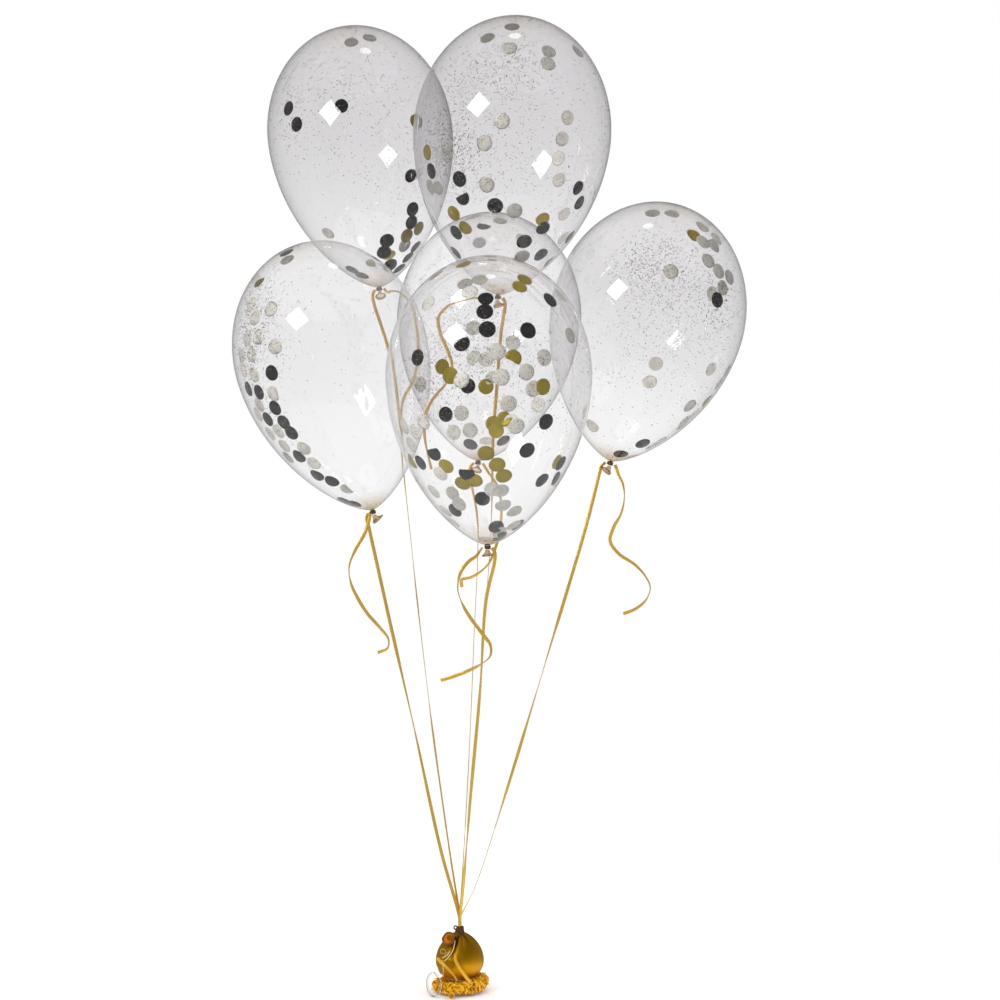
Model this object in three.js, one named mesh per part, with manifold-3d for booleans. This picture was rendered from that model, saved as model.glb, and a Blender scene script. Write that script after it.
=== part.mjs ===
// A bouquet of six clear balloons, filled with helium and confetti, on gold curling ribbons. The ribbons run down
// to a small gold balloon that is the weight, and it sits in a nest of curled ribbon. Millimetres, +Z up, front
// towards -Y. The origin is on the underside of the nest, below the knot where all ribbons meet.

import * as THREE from 'three';
import { mergeVertices } from 'three/addons/utils/BufferGeometryUtils.js';
import Module from 'manifold-3d';

// Clearance between pieces that touch
const gap = 0.3;

// Balloons: a round crown over a long taper
const balloonRadius = 144.5;
const crownHeight = 1.175; // in radii
const taperFullness = 1.9; // how long the taper stays full
const taperPoint = 0.71; // how blunt it ends
const bunchMiddle = new THREE.Vector3(17, 0, 1075);

// Each balloon, in the order in which the ribbons lie in the knot from front to back: its middle, from the bunch's
// middle and in radii, the degrees that its crown leans to +X and to +Y, the length of its taper in radii, and the
// sides on which its ribbon and its tail leave the neck
const balloons = [
  {
    name: 'front', at: [0.19, -1.34, -1.17], lean: [0.6, -13.4], taper: 1.68,
    side: [0.9, -0.4], tailSide: [-1, -0.2],
  },
  {
    name: 'top', at: [0.42, -0.47, 1.34], lean: [5.1, -3.2], taper: 1.63,
    side: [1, 0], tailSide: [-1, -0.1],
  },
  {
    name: 'left', at: [-1.44, -0.1, -0.86], lean: [-14.8, -0.9], taper: 1.66,
    side: [-1, 0.15], tailSide: [-0.6, -0.9],
  },
  {
    name: 'right', at: [1.82, -0.08, -0.46], lean: [14.2, -0.7], taper: 1.55,
    side: [-1, 0], tailSide: [1, -0.1],
  },
  {
    name: 'top_left', at: [-1.22, 1.03, 1.61], lean: [-7.5, 7], taper: 1.71,
    side: [-1, 0], tailSide: [1, -0.2],
  },
  {
    name: 'back', at: [0.18, 1.11, -0.39], lean: [4.3, 9.9], taper: 1.58,
    side: [-1, 0.1], tailSide: [1, -0.1],
  },
];

// Neck of a balloon, its ribbon binding and the rolled lip below it
const neckRadius = 2.4;
const wrapHeight = 6;
const wrapThickness = 1.7;
const lipRadius = 8.5;
const lipDrop = 8; // from the binding down to the rim
const lipRoll = 1.1; // half the thickness of the rolled rim
const filmThickness = 0.9;

// Curling ribbon
const ribbonWidth = 5;
const ribbonThickness = 1.2;
const ribbonPitch = 1.7; // from one ribbon to the next where they meet in the knot
const ribbonRise = 10; // how far they stand upright above the knot

// Weight: a small balloon that stands on its crown, with its neck up
const weightRadius = 36;
const weightCrown = 31; // from its widest place down to its underside
const weightShoulder = 43; // from its widest place up to the neck
const weightNeckRadius = 3.4;
const weightNeckHeight = 6;
const weightSeat = 16; // height of its underside above the floor
const mouthRadius = 8.6; // middle of the rolled rim of its open mouth
const mouthRoll = 1.6; // half the thickness of that rim
const mouthTube = 4; // radius of the short tube that carries the mouth
const mouthPlace = new THREE.Vector3(-16.5, -24, 84);
const mouthFacing = new THREE.Vector3(-0.35, -0.85, 0.35).normalize();

// Knot of all ribbons around the neck of the weight
const knotRadius = 6.5;
const knotCap = 1.8; // thickness above the neck

// Nest of curled ribbon
const nestRadius = 45;
const nestRuffle = 3; // how far its loops stand in and out
const nestHeight = 25;
const nestFoot = 43;

// Loop of clear ribbon that stands beside the nest
const loopRadius = 15; // half its width
const loopHeight = 37;
const loopWall = 1;
const loopBearing = THREE.MathUtils.degToRad(222); // where it stands around the nest

// Facets
const balloonSides = 18;
const crownSteps = 5;
const taperSteps = 9;
const ringSides = 12;
const nestSides = 28;

// Colours
const clear = new THREE.MeshStandardMaterial({
  color: 0xe9e8ea, roughness: 0.05, transparent: true, opacity: 0.35,
});
const gold = new THREE.MeshStandardMaterial({ color: 0xcf9a2b, roughness: 0.3, metalness: 0.6 });
const oldGold = new THREE.MeshStandardMaterial({ color: 0x6b5423, roughness: 0.4, metalness: 0.4 });
const chromeGold = new THREE.MeshStandardMaterial({ color: 0xb07a10, roughness: 0.15, metalness: 0.9 });
const brightGold = new THREE.MeshStandardMaterial({ color: 0xf0ab1c, roughness: 0.25, metalness: 0.7 });

const up = new THREE.Vector3(0, 0, 1);
const bouquet = new THREE.Group();

function add(name, geometry, material, parent = bouquet) {
  const mesh = new THREE.Mesh(geometry, material);
  mesh.name = name;
  parent.add(mesh);
  return mesh;
}

// A solid of revolution about +Z from points of radius and height that run upwards
function turned(points, sides) {
  const profile = points.map(([radius, height]) => new THREE.Vector2(radius, height));
  return new THREE.LatheGeometry(profile, sides).rotateX(Math.PI / 2);
}

// A smooth curve that is stepped evenly from point to point, so that it has short steps where its points are close
class Route extends THREE.CatmullRomCurve3 {
  getUtoTmapping(u) {
    return u;
  }
}

// A length of ribbon along a smooth curve through points, with its width along +X where it ends
function ribbonAlong(points, stepsPerPoint) {
  const path = new Route(points.map((p) => new THREE.Vector3(...p)));
  const steps = Math.round(stepsPerPoint * (points.length - 1));
  const frames = path.computeFrenetFrames(steps, false);
  const turn = Math.atan2(frames.binormals[steps].x, frames.normals[steps].x);
  const section = new THREE.Shape();
  const corners = 8;
  for (let i = 0; i < corners; i += 1) {
    const angle = (2 * Math.PI * (i + 0.5)) / corners;
    const x = (ribbonWidth / 2) * Math.cos(angle) / Math.cos(Math.PI / corners);
    const y = (ribbonThickness / 2) * Math.sin(angle) / Math.cos(Math.PI / corners);
    const corner = [x * Math.cos(turn) - y * Math.sin(turn), x * Math.sin(turn) + y * Math.cos(turn)];
    if (i === 0) section.moveTo(...corner);
    else section.lineTo(...corner);
  }
  section.closePath();
  return new THREE.ExtrudeGeometry(section, { steps, extrudePath: path });
}

// The clear balloon. Its middle is where it is widest, and its taper shrinks to the neck, which flares below the
// binding into a trumpet with a rolled rim.
function balloonGeometry(taper) {
  const length = taper * balloonRadius;
  const neckShare = (1 - (neckRadius / balloonRadius) ** (1 / taperPoint)) ** (1 / taperFullness);
  const neckTop = -length * neckShare;
  const wrapBottom = neckTop - wrapHeight - 2 * gap;
  const rim = wrapBottom - lipDrop;
  const points = [
    [0, wrapBottom - 0.45 * lipDrop],
    [0.4 * lipRadius, wrapBottom - 0.7 * lipDrop],
    [lipRadius - 2 * lipRoll, rim + filmThickness / 2],
    [lipRadius - lipRoll, rim - lipRoll / 2],
    [lipRadius, rim + lipRoll / 2],
    [lipRadius - lipRoll, rim + 1.6 * lipRoll],
    [0.4 * lipRadius + filmThickness, wrapBottom - 0.45 * lipDrop],
    [neckRadius, wrapBottom],
    [neckRadius, neckTop],
  ];
  for (let i = taperSteps - 1; i > 0; i -= 1) {
    const share = Math.sin((Math.PI / 2) * (i / taperSteps));
    points.push([balloonRadius * (1 - share ** taperFullness) ** taperPoint, -length * share]);
  }
  for (let i = 0; i < crownSteps; i += 1) {
    const angle = (Math.PI / 2) * (i / crownSteps);
    points.push([balloonRadius * Math.cos(angle), crownHeight * balloonRadius * Math.sin(angle)]);
  }
  points.push([0, crownHeight * balloonRadius]);
  return { geometry: turned(points, balloonSides), neckTop };
}

// The turns of ribbon that bind the neck
function wrapGeometry(neckTop) {
  const inner = neckRadius + gap;
  const outer = inner + wrapThickness;
  const top = neckTop - gap;
  return turned([
    [inner, top - wrapHeight],
    [outer, top - 0.8 * wrapHeight],
    [outer, top - 0.2 * wrapHeight],
    [inner, top],
    [inner, top - wrapHeight],
  ], ringSides);
}

// The free stretch of each ribbon, from below the neck to above the knot at the weight
const ribbonRoutes = {
  front: [[40, -112, 590], [31, -74, 457], [16, -36, 291], [6, -12, 168]],
  top: [[62, -46, 984], [56, -38, 907], [50, -36, 831], [47, -29, 701], [35, -19, 526], [17, -8, 287]],
  left: [[-105, -9, 557], [-68, -6, 394], [-28, -3, 210]],
  right: [[188, -8, 694], [126, -5, 486], [56, -2, 256], [21, -1, 152]],
  top_left: [[-113, 120, 967], [-101, 122, 889], [-84, 92, 734], [-48, 42, 431], [-16, 12, 210]],
  back: [[25, 99, 703], [20, 66, 520], [12, 36, 326], [4, 14, 179]],
};

// The free stretch of each curled tail, from beside the neck to the loose end
const tailRoutes = {
  front: [[26, -142, 654], [16, -148, 647], [5, -152, 633], [0, -150, 610], [5, -142, 589], [17, -134, 567],
    [33, -130, 545], [46, -134, 527], [46, -142, 512], [33, -150, 501], [15, -154, 492], [-5, -152, 484],
    [-24, -148, 478]],
  top: [[37, -60, 1026], [24, -60, 1030], [4, -54, 1026], [-16, -46, 1020], [-31, -40, 1003], [-28, -40, 979],
    [-18, -42, 956], [-11, -46, 931], [-19, -52, 906], [-38, -56, 883], [-49, -58, 861], [-51, -58, 831],
    [-47, -56, 805], [-41, -52, 779]],
  left: [[-140, -26, 685], [-153, -30, 662], [-163, -30, 636], [-161, -24, 611], [-151, -14, 587],
    [-137, -8, 564], [-120, -8, 545], [-106, -14, 527], [-107, -22, 514], [-121, -28, 508]],
  right: [[236, -14, 772], [243, -20, 755], [244, -24, 734], [239, -24, 713], [229, -18, 694], [224, -10, 673],
    [237, -2, 654], [262, 2, 637], [278, 0, 619], [284, -6, 603], [277, -12, 585], [261, -16, 572],
    [243, -18, 565]],
  top_left: [[-107, 112, 1058], [-91, 88, 1052], [-76, 70, 1034], [-69, 62, 1005], [-65, 62, 971],
    [-67, 74, 940], [-76, 92, 914], [-89, 102, 892], [-94, 104, 868], [-92, 102, 842]],
  back: [[43, 110, 775], [54, 96, 759], [61, 84, 736], [62, 72, 708], [58, 62, 681], [52, 52, 658],
    [43, 44, 638], [31, 40, 626], [16, 40, 617], [2, 44, 613], [2, 50, 602]],
};

// Points on one side of a leaning balloon's neck, each a distance from its axis and a drop below the neck's top
function besideNeck(stand, neckTop, [sideX, sideY], steps) {
  const side = new THREE.Vector3(sideX, sideY, 0).normalize();
  return steps.map(([out, drop]) => {
    const point = side.clone().multiplyScalar(out).setZ(neckTop - drop);
    return stand.localToWorld(point).toArray();
  });
}

// The ribbon starts beside its binding and passes the rolled lip
const besideWrap = neckRadius + wrapThickness + 2 * gap + ribbonWidth / 2;
const pastLip = lipRadius + ribbonWidth / 2 + 2 * gap;
const ribbonExit = [[besideWrap, 0.6 * wrapHeight], [pastLip, wrapHeight + 0.5 * lipDrop],
  [pastLip + gap, wrapHeight + 1.9 * lipDrop]];
const tailExit = [[besideWrap, 0.6 * wrapHeight], [pastLip, wrapHeight + 0.5 * lipDrop]];

// The weight stands in the nest, and its neck ends below the knot's cap
const weightMiddle = weightSeat + weightCrown;
const weightFullness = 1.9;
const weightPoint = 0.62;
const weightNeckShare = (1 - (weightNeckRadius / weightRadius) ** (1 / weightPoint)) ** (1 / weightFullness);
const weightNeckFoot = weightMiddle + weightShoulder * weightNeckShare;
const weightNeckTop = weightNeckFoot + weightNeckHeight;
const knotTop = weightNeckTop + gap + knotCap;

balloons.forEach((balloon, order) => {
  const stand = new THREE.Group();
  const [leanX, leanY] = balloon.lean.map((angle) => Math.tan(THREE.MathUtils.degToRad(angle)));
  stand.position.set(...balloon.at).multiplyScalar(balloonRadius).add(bunchMiddle);
  stand.quaternion.setFromUnitVectors(up, new THREE.Vector3(leanX, leanY, 1).normalize());
  bouquet.add(stand);
  stand.updateMatrixWorld();
  const { geometry, neckTop } = balloonGeometry(balloon.taper);
  add(`balloon_${balloon.name}`, geometry, clear, stand);
  add(`neck_binding_${balloon.name}`, wrapGeometry(neckTop), oldGold, stand);

  const inKnot = ribbonPitch * (order - (balloons.length - 1) / 2);
  const ribbon = [
    ...besideNeck(stand, neckTop, balloon.side, ribbonExit),
    ...ribbonRoutes[balloon.name],
    [0, inKnot, knotTop + gap + ribbonRise],
    [0, inKnot, knotTop + gap],
  ];
  add(`ribbon_${balloon.name}`, ribbonAlong(ribbon, 1), gold);
  const tail = [...besideNeck(stand, neckTop, balloon.tailSide, tailExit), ...tailRoutes[balloon.name]];
  add(`tail_${balloon.name}`, ribbonAlong(tail, 1.5), gold);
});

// The weight's outline: half an ellipse below its widest place, and a shoulder that shrinks to the neck
function weightUnderside(radius) {
  return weightMiddle - weightCrown * Math.sqrt(1 - (radius / weightRadius) ** 2);
}

function weightShell() {
  const points = [[0, weightSeat]];
  const steps = 6;
  for (let i = 1; i <= steps; i += 1) {
    const angle = (Math.PI / 2) * (i / steps);
    points.push([weightRadius * Math.sin(angle), weightMiddle - weightCrown * Math.cos(angle)]);
  }
  for (let i = 1; i < steps; i += 1) {
    const share = weightNeckShare * Math.sin((Math.PI / 2) * (i / steps));
    const radius = weightRadius * (1 - share ** weightFullness) ** weightPoint;
    points.push([radius, weightMiddle + weightShoulder * share]);
  }
  points.push([weightNeckRadius, weightNeckFoot], [weightNeckRadius, weightNeckTop], [0, weightNeckTop]);
  return turned(points, balloonSides);
}

const wasm = await Module();
wasm.setup();

function toSolid(geometry) {
  const bare = geometry.clone();
  bare.deleteAttribute('normal');
  bare.deleteAttribute('uv');
  const merged = mergeVertices(bare, 1e-4);
  return new wasm.Manifold(new wasm.Mesh({
    numProp: 3,
    vertProperties: new Float32Array(merged.attributes.position.array),
    triVerts: new Uint32Array(merged.index.array),
  }));
}

function toGeometry(solid) {
  const { vertProperties, triVerts } = solid.getMesh();
  const geometry = new THREE.BufferGeometry();
  geometry.setAttribute('position', new THREE.BufferAttribute(new Float32Array(vertProperties), 3));
  geometry.setIndex(new THREE.BufferAttribute(new Uint32Array(triVerts), 1));
  return geometry;
}

// The mouth: a short bent tube from the shoulder, closed behind the rim, and the rolled rim around its end
const facing = new THREE.Quaternion().setFromUnitVectors(up, mouthFacing);
const rim = new THREE.TorusGeometry(mouthRadius, mouthRoll, 6, 16).applyQuaternion(facing)
  .translate(...mouthPlace.toArray());
const tubeSection = new THREE.Shape().absellipse(0, 0, mouthTube, mouthTube, 0, 2 * Math.PI);
const tubePath = new THREE.CatmullRomCurve3([
  new THREE.Vector3(0, -mouthTube, weightNeckFoot - 1.25 * mouthTube),
  mouthPlace.clone().multiplyScalar(0.6).setZ(weightNeckFoot - 0.75 * mouthTube),
  mouthPlace.clone().addScaledVector(mouthFacing, -mouthRoll),
]);
const tube = new THREE.ExtrudeGeometry(tubeSection, { steps: 5, curveSegments: 3, extrudePath: tubePath });
const film = new THREE.ConeGeometry(mouthRadius, mouthRadius, 16).rotateX(-Math.PI / 2).applyQuaternion(facing)
  .translate(...mouthPlace.clone().addScaledVector(mouthFacing, -mouthRadius / 2).toArray());
const weight = [tube, film, rim].reduce((solid, piece) => solid.add(toSolid(piece)), toSolid(weightShell()));
add('weight_balloon', toGeometry(weight), chromeGold);

// The knot: a cap over the weight's neck, domed where the ribbons arrive
const knotInner = weightNeckRadius + gap;
const knotBottom = weightNeckFoot + 0.25 * weightNeckHeight;
add('weight_knot', turned([
  [0, knotTop - knotCap],
  [knotInner, knotTop - knotCap],
  [knotInner, knotBottom],
  [0.85 * knotRadius, knotBottom],
  [knotRadius, (knotBottom + knotTop) / 2],
  [0.85 * knotRadius, knotTop],
  [0, knotTop],
], ringSides), oldGold);

// The nest: a low cushion with ruffled sides, a flat foot, and a dish in which the weight sits
function nestGeometry() {
  const rings = [[nestFoot, 0], [nestRadius, 0.25 * nestHeight], [nestRadius, 0.6 * nestHeight],
    [0.9 * nestRadius, 0.9 * nestHeight], [0.76 * nestRadius, nestHeight]];
  const dish = [0.68, 0.45, 0.22].map((share) => share * weightRadius)
    .map((radius) => [radius, weightUnderside(radius) - gap]);
  const outline = [[0, 0], ...rings, ...dish, [0, weightSeat - gap]];
  const geometry = turned(outline, nestSides);
  const place = geometry.attributes.position;
  for (let i = 0; i < place.count; i += 1) {
    const [x, y, z] = [place.getX(i), place.getY(i), place.getZ(i)];
    const radius = Math.hypot(x, y);
    const angle = Math.round(nestSides * Math.atan2(y, x) / (2 * Math.PI)) * 2 * Math.PI / nestSides;
    const side = radius > 0.7 * nestRadius ? 1 : 0;
    const inOut = side * nestRuffle * (z > 0 ? Math.sin(7 * angle) * 0.6 + Math.sin(11 * angle + 1) * 0.4 : 0);
    const upDown = z > 0.5 * nestHeight ? side * nestRuffle * (Math.sin(9 * angle + 2) - 1) * 0.4 : 0;
    const grown = radius > 0 ? (radius + inOut) / radius : 1;
    place.setXYZ(i, x * grown, y * grown, z + upDown);
  }
  return geometry;
}
add('ribbon_nest', nestGeometry(), brightGold);

// Loose ends of the knot's ribbon, which lie over the front of the weight: places from its axis in its radii, and
// heights
const looseEnds = {
  right: [[-0.17, -1.1, 65], [-0.15, -1.15, 56], [0, -1.2, 46], [0.17, -1.2, 37], [0.33, -1.17, 29],
    [0.5, -1.14, 22]],
  left: [[-0.92, -0.78, 56], [-0.78, -0.92, 52], [-0.58, -1.06, 47], [-0.38, -1.14, 40], [-0.2, -1.17, 33],
    [-0.08, -1.17, 26]],
};
for (const [name, route] of Object.entries(looseEnds)) {
  const points = route.map(([x, y, height]) => [x * weightRadius, y * weightRadius, height]);
  add(`loose_end_${name}`, ribbonAlong(points, 1.5), gold);
}

// The loop of clear ribbon is a tall oval that stands on edge and leans on the side of the nest
const loop = add('clear_loop', new THREE.LatheGeometry([
  new THREE.Vector2(loopRadius - loopWall, -ribbonWidth / 2),
  new THREE.Vector2(loopRadius, -ribbonWidth / 2),
  new THREE.Vector2(loopRadius, ribbonWidth / 2),
  new THREE.Vector2(loopRadius - loopWall, ribbonWidth / 2),
  new THREE.Vector2(loopRadius - loopWall, -ribbonWidth / 2),
], 16), clear);
const loopDistance = nestRadius + nestRuffle + gap + ribbonWidth / 2;
const [loopX, loopY] = [Math.cos(loopBearing), Math.sin(loopBearing)].map((share) => share * loopDistance);
loop.position.set(loopX, loopY, loopHeight / 2 + gap);
loop.rotation.z = loopBearing - Math.PI / 2;
loop.scale.z = loopHeight / (2 * loopRadius);

export default bouquet;
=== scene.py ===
"""A bouquet of six clear confetti balloons on gold curling ribbon, tied to a small gold balloon in a nest of curls.

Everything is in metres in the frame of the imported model: +Z up, the front towards -Y, the origin under the nest.
"""

import math

import bpy
import numpy as np
from bpy.props import FloatProperty, FloatVectorProperty, IntProperty, PointerProperty
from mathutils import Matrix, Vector


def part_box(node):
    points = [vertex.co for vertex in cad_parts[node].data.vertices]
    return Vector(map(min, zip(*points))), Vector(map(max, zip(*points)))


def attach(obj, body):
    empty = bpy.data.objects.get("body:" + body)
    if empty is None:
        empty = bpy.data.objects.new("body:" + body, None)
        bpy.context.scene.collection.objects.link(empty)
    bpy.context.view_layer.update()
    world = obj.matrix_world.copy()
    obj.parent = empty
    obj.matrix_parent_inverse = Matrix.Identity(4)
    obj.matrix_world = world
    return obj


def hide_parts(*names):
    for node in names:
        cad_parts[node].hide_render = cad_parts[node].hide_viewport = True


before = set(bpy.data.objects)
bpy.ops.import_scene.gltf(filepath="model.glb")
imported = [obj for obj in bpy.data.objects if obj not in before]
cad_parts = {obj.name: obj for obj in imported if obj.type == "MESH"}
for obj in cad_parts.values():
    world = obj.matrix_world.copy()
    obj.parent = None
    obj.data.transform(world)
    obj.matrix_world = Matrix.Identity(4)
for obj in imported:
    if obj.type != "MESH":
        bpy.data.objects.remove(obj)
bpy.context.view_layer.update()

MM = 0.001

bl_info = {
    "name": "Clear confetti balloon bouquet",
    "version": (1, 0, 0),
    "blender": (4, 5, 0),
    "location": "View3D > Sidebar > Bouquet",
    "description": "Builds clear balloons with confetti, their ribbons, the weight and its nest around a packed frame",
    "category": "Add Mesh",
}

# Each balloon in the order of its ribbon in the knot, from front to back: its middle from the bunch's middle in
# radii, the degrees that its crown leans to +X and to +Y, the length of its taper in radii, and the sides on which
# its ribbon and its tail leave the neck
BUNCH_MIDDLE = np.array([17, 0, 1075]) * MM
BALLOONS = {
    "front": dict(at=(0.19, -1.34, -1.17), lean=(0.6, -13.4), taper=1.68, side=(0.9, -0.4), tail_side=(-1, -0.2)),
    "top": dict(at=(0.42, -0.47, 1.34), lean=(5.1, -3.2), taper=1.63, side=(1, 0), tail_side=(-1, -0.1)),
    "left": dict(at=(-1.44, -0.1, -0.86), lean=(-14.8, -0.9), taper=1.66, side=(-1, 0.15), tail_side=(-0.6, -0.9)),
    "right": dict(at=(1.82, -0.08, -0.46), lean=(14.2, -0.7), taper=1.55, side=(-1, 0), tail_side=(1, -0.1)),
    "top_left": dict(at=(-1.22, 1.03, 1.61), lean=(-7.5, 7), taper=1.71, side=(-1, 0), tail_side=(1, -0.2)),
    "back": dict(at=(0.18, 1.11, -0.39), lean=(4.3, 9.9), taper=1.58, side=(-1, 0.1), tail_side=(1, -0.1)),
}

# Where each ribbon runs between its balloon and the knot, in millimetres
RIBBON_ROUTES = {
    "front": [(40, -112, 590), (31, -74, 457), (16, -36, 291), (6, -12, 168)],
    "top": [(62, -46, 984), (56, -38, 907), (50, -36, 831), (47, -29, 701), (35, -19, 526), (17, -8, 287)],
    "left": [(-105, -9, 557), (-68, -6, 394), (-28, -3, 210)],
    "right": [(188, -8, 694), (126, -5, 486), (56, -2, 256), (21, -1, 152)],
    "top_left": [(-113, 120, 967), (-101, 122, 889), (-84, 92, 734), (-48, 42, 431), (-16, 12, 210)],
    "back": [(25, 99, 703), (20, 66, 520), (12, 36, 326), (4, 14, 179)],
}

# Where each curled tail hangs, from beside the neck to its loose end, in millimetres
TAIL_ROUTES = {
    "front": [(26, -142, 654), (16, -148, 647), (5, -152, 633), (0, -150, 610), (5, -142, 589), (17, -134, 567),
              (33, -130, 545), (46, -134, 527), (46, -142, 512), (33, -150, 501), (15, -154, 492), (-5, -152, 484),
              (-24, -148, 478)],
    "top": [(37, -60, 1026), (24, -60, 1030), (4, -54, 1026), (-16, -46, 1020), (-31, -40, 1003), (-28, -40, 979),
            (-18, -42, 956), (-11, -46, 931), (-19, -52, 906), (-38, -56, 883), (-49, -58, 861), (-51, -58, 831),
            (-47, -56, 805), (-41, -52, 779)],
    "left": [(-140, -26, 685), (-153, -30, 662), (-163, -30, 636), (-161, -24, 611), (-151, -14, 587),
             (-137, -8, 564), (-120, -8, 545), (-106, -14, 527), (-107, -22, 514), (-121, -28, 508)],
    "right": [(236, -14, 772), (243, -20, 755), (244, -24, 734), (239, -24, 713), (229, -18, 694), (224, -10, 673),
              (237, -2, 654), (262, 2, 637), (278, 0, 619), (284, -6, 603), (277, -12, 585), (261, -16, 572),
              (243, -18, 565)],
    "top_left": [(-107, 112, 1058), (-91, 88, 1052), (-76, 70, 1034), (-69, 62, 1005), (-65, 62, 971),
                 (-67, 74, 940), (-76, 92, 914), (-89, 102, 892), (-94, 104, 868), (-92, 102, 842)],
    "back": [(43, 110, 775), (54, 96, 759), (61, 84, 736), (62, 72, 708), (58, 62, 681), (52, 52, 658),
             (43, 44, 638), (31, 40, 626), (16, 40, 617), (2, 44, 613), (2, 50, 602)],
}

# The loose ends of the knot's ribbon, which lie over the front of the weight: places from its axis in its radii,
# and heights in millimetres
LOOSE_ENDS = {
    "right": [(-0.17, -1.1, 65), (-0.15, -1.15, 56), (0, -1.2, 46), (0.17, -1.2, 37), (0.33, -1.17, 29),
              (0.5, -1.14, 22)],
    "left": [(-0.92, -0.78, 56), (-0.78, -0.92, 52), (-0.58, -1.06, 47), (-0.38, -1.14, 40), (-0.2, -1.17, 33),
             (-0.08, -1.17, 26)],
}

# How far each ribbon is turned from facing the front, in degrees, at even steps from the balloon down to the weight
RIBBON_TURNS = {
    "front": (20, 10, 35, 60, 30, 10, 40, 70, 30, 0),
    "top": (10, 20, 15, 50, 84, 88, 86, 82, 86, 80, 84, 70),
    "left": (10, 0, 20, 10, 60, 80, 50, 30, 10, 0, 10),
    "right": (30, 10, 0, 20, 10, 60, 84, 60, 20, 40, 78, 80, 80, 60),
    "top_left": (10, 20, 0, 30, 70, 88, 92, 70, 86, 94, 60, 70, 66, 60, 50),
    "back": (20, 50, 84, 88, 86, 84, 86, 80, 84, 76, 60),
}
TAIL_TURNS = {
    "front": (60, 20, 10, 70, 80, 30, 0, 10, 50, 70, 20, 0, 10),
    "top": (40, 60, 80, 40, 10, 0, 20, 60, 40, 0, 30, 60, 40),
    "left": (20, 0, 10, 60, 80, 40, 0, 10, 40, 70, 20),
    "right": (10, 40, 70, 50, 10, 0, 20, 40, 60, 70, 30, 10),
    "top_left": (30, 60, 40, 10, 20, 50, 30, 10, 40, 60),
    "back": (20, 50, 30, 60, 20, 10, 40, 60, 30, 10),
}

LOOSE_TURNS = {"right": (50, 20, 0, 10, 20), "left": (20, 35, 45, 60, 72)}

# The weight's shoulder ends this bluntly, and its mouth lies at its upper left and faces the front
WEIGHT_POINT = 0.62
MOUTH_PLACE = np.array([-16.5, -24, 84]) * MM
MOUTH_FACING = np.array([-0.35, -0.85, 0.35])

# Crumpled ends of the knot that hang over the weight's gathers: place across, lean and drop in millimetres
KNOT_STRANDS = [(-4.6, -3.6, 9), (-3.0, -1.2, 12), (-0.8, 0.2, 10.5), (1.2, 1.4, 12), (3.2, 2.8, 10), (4.4, 1.0, 7.5)]

# Thin shreds on the left of the weight, and tiny curls beside them: places across and heights in millimetres, and
# a radius for each curl
SHREDS = [[(-6.7, 80), (-7.5, 75), (-9.7, 67.7), (-16.3, 57.7), (-25, 49)],
          [(-25, 46), (-24, 38), (-24.3, 27)], [(-33, 40), (-31, 33), (-27.5, 25)], [(-14, 66), (-19, 60), (-26, 55)]]
SHRED_CURLS = [(-24.5, 65, 3.6), (-19, 62, 2.6), (-27, 50, 3.0)]

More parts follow.
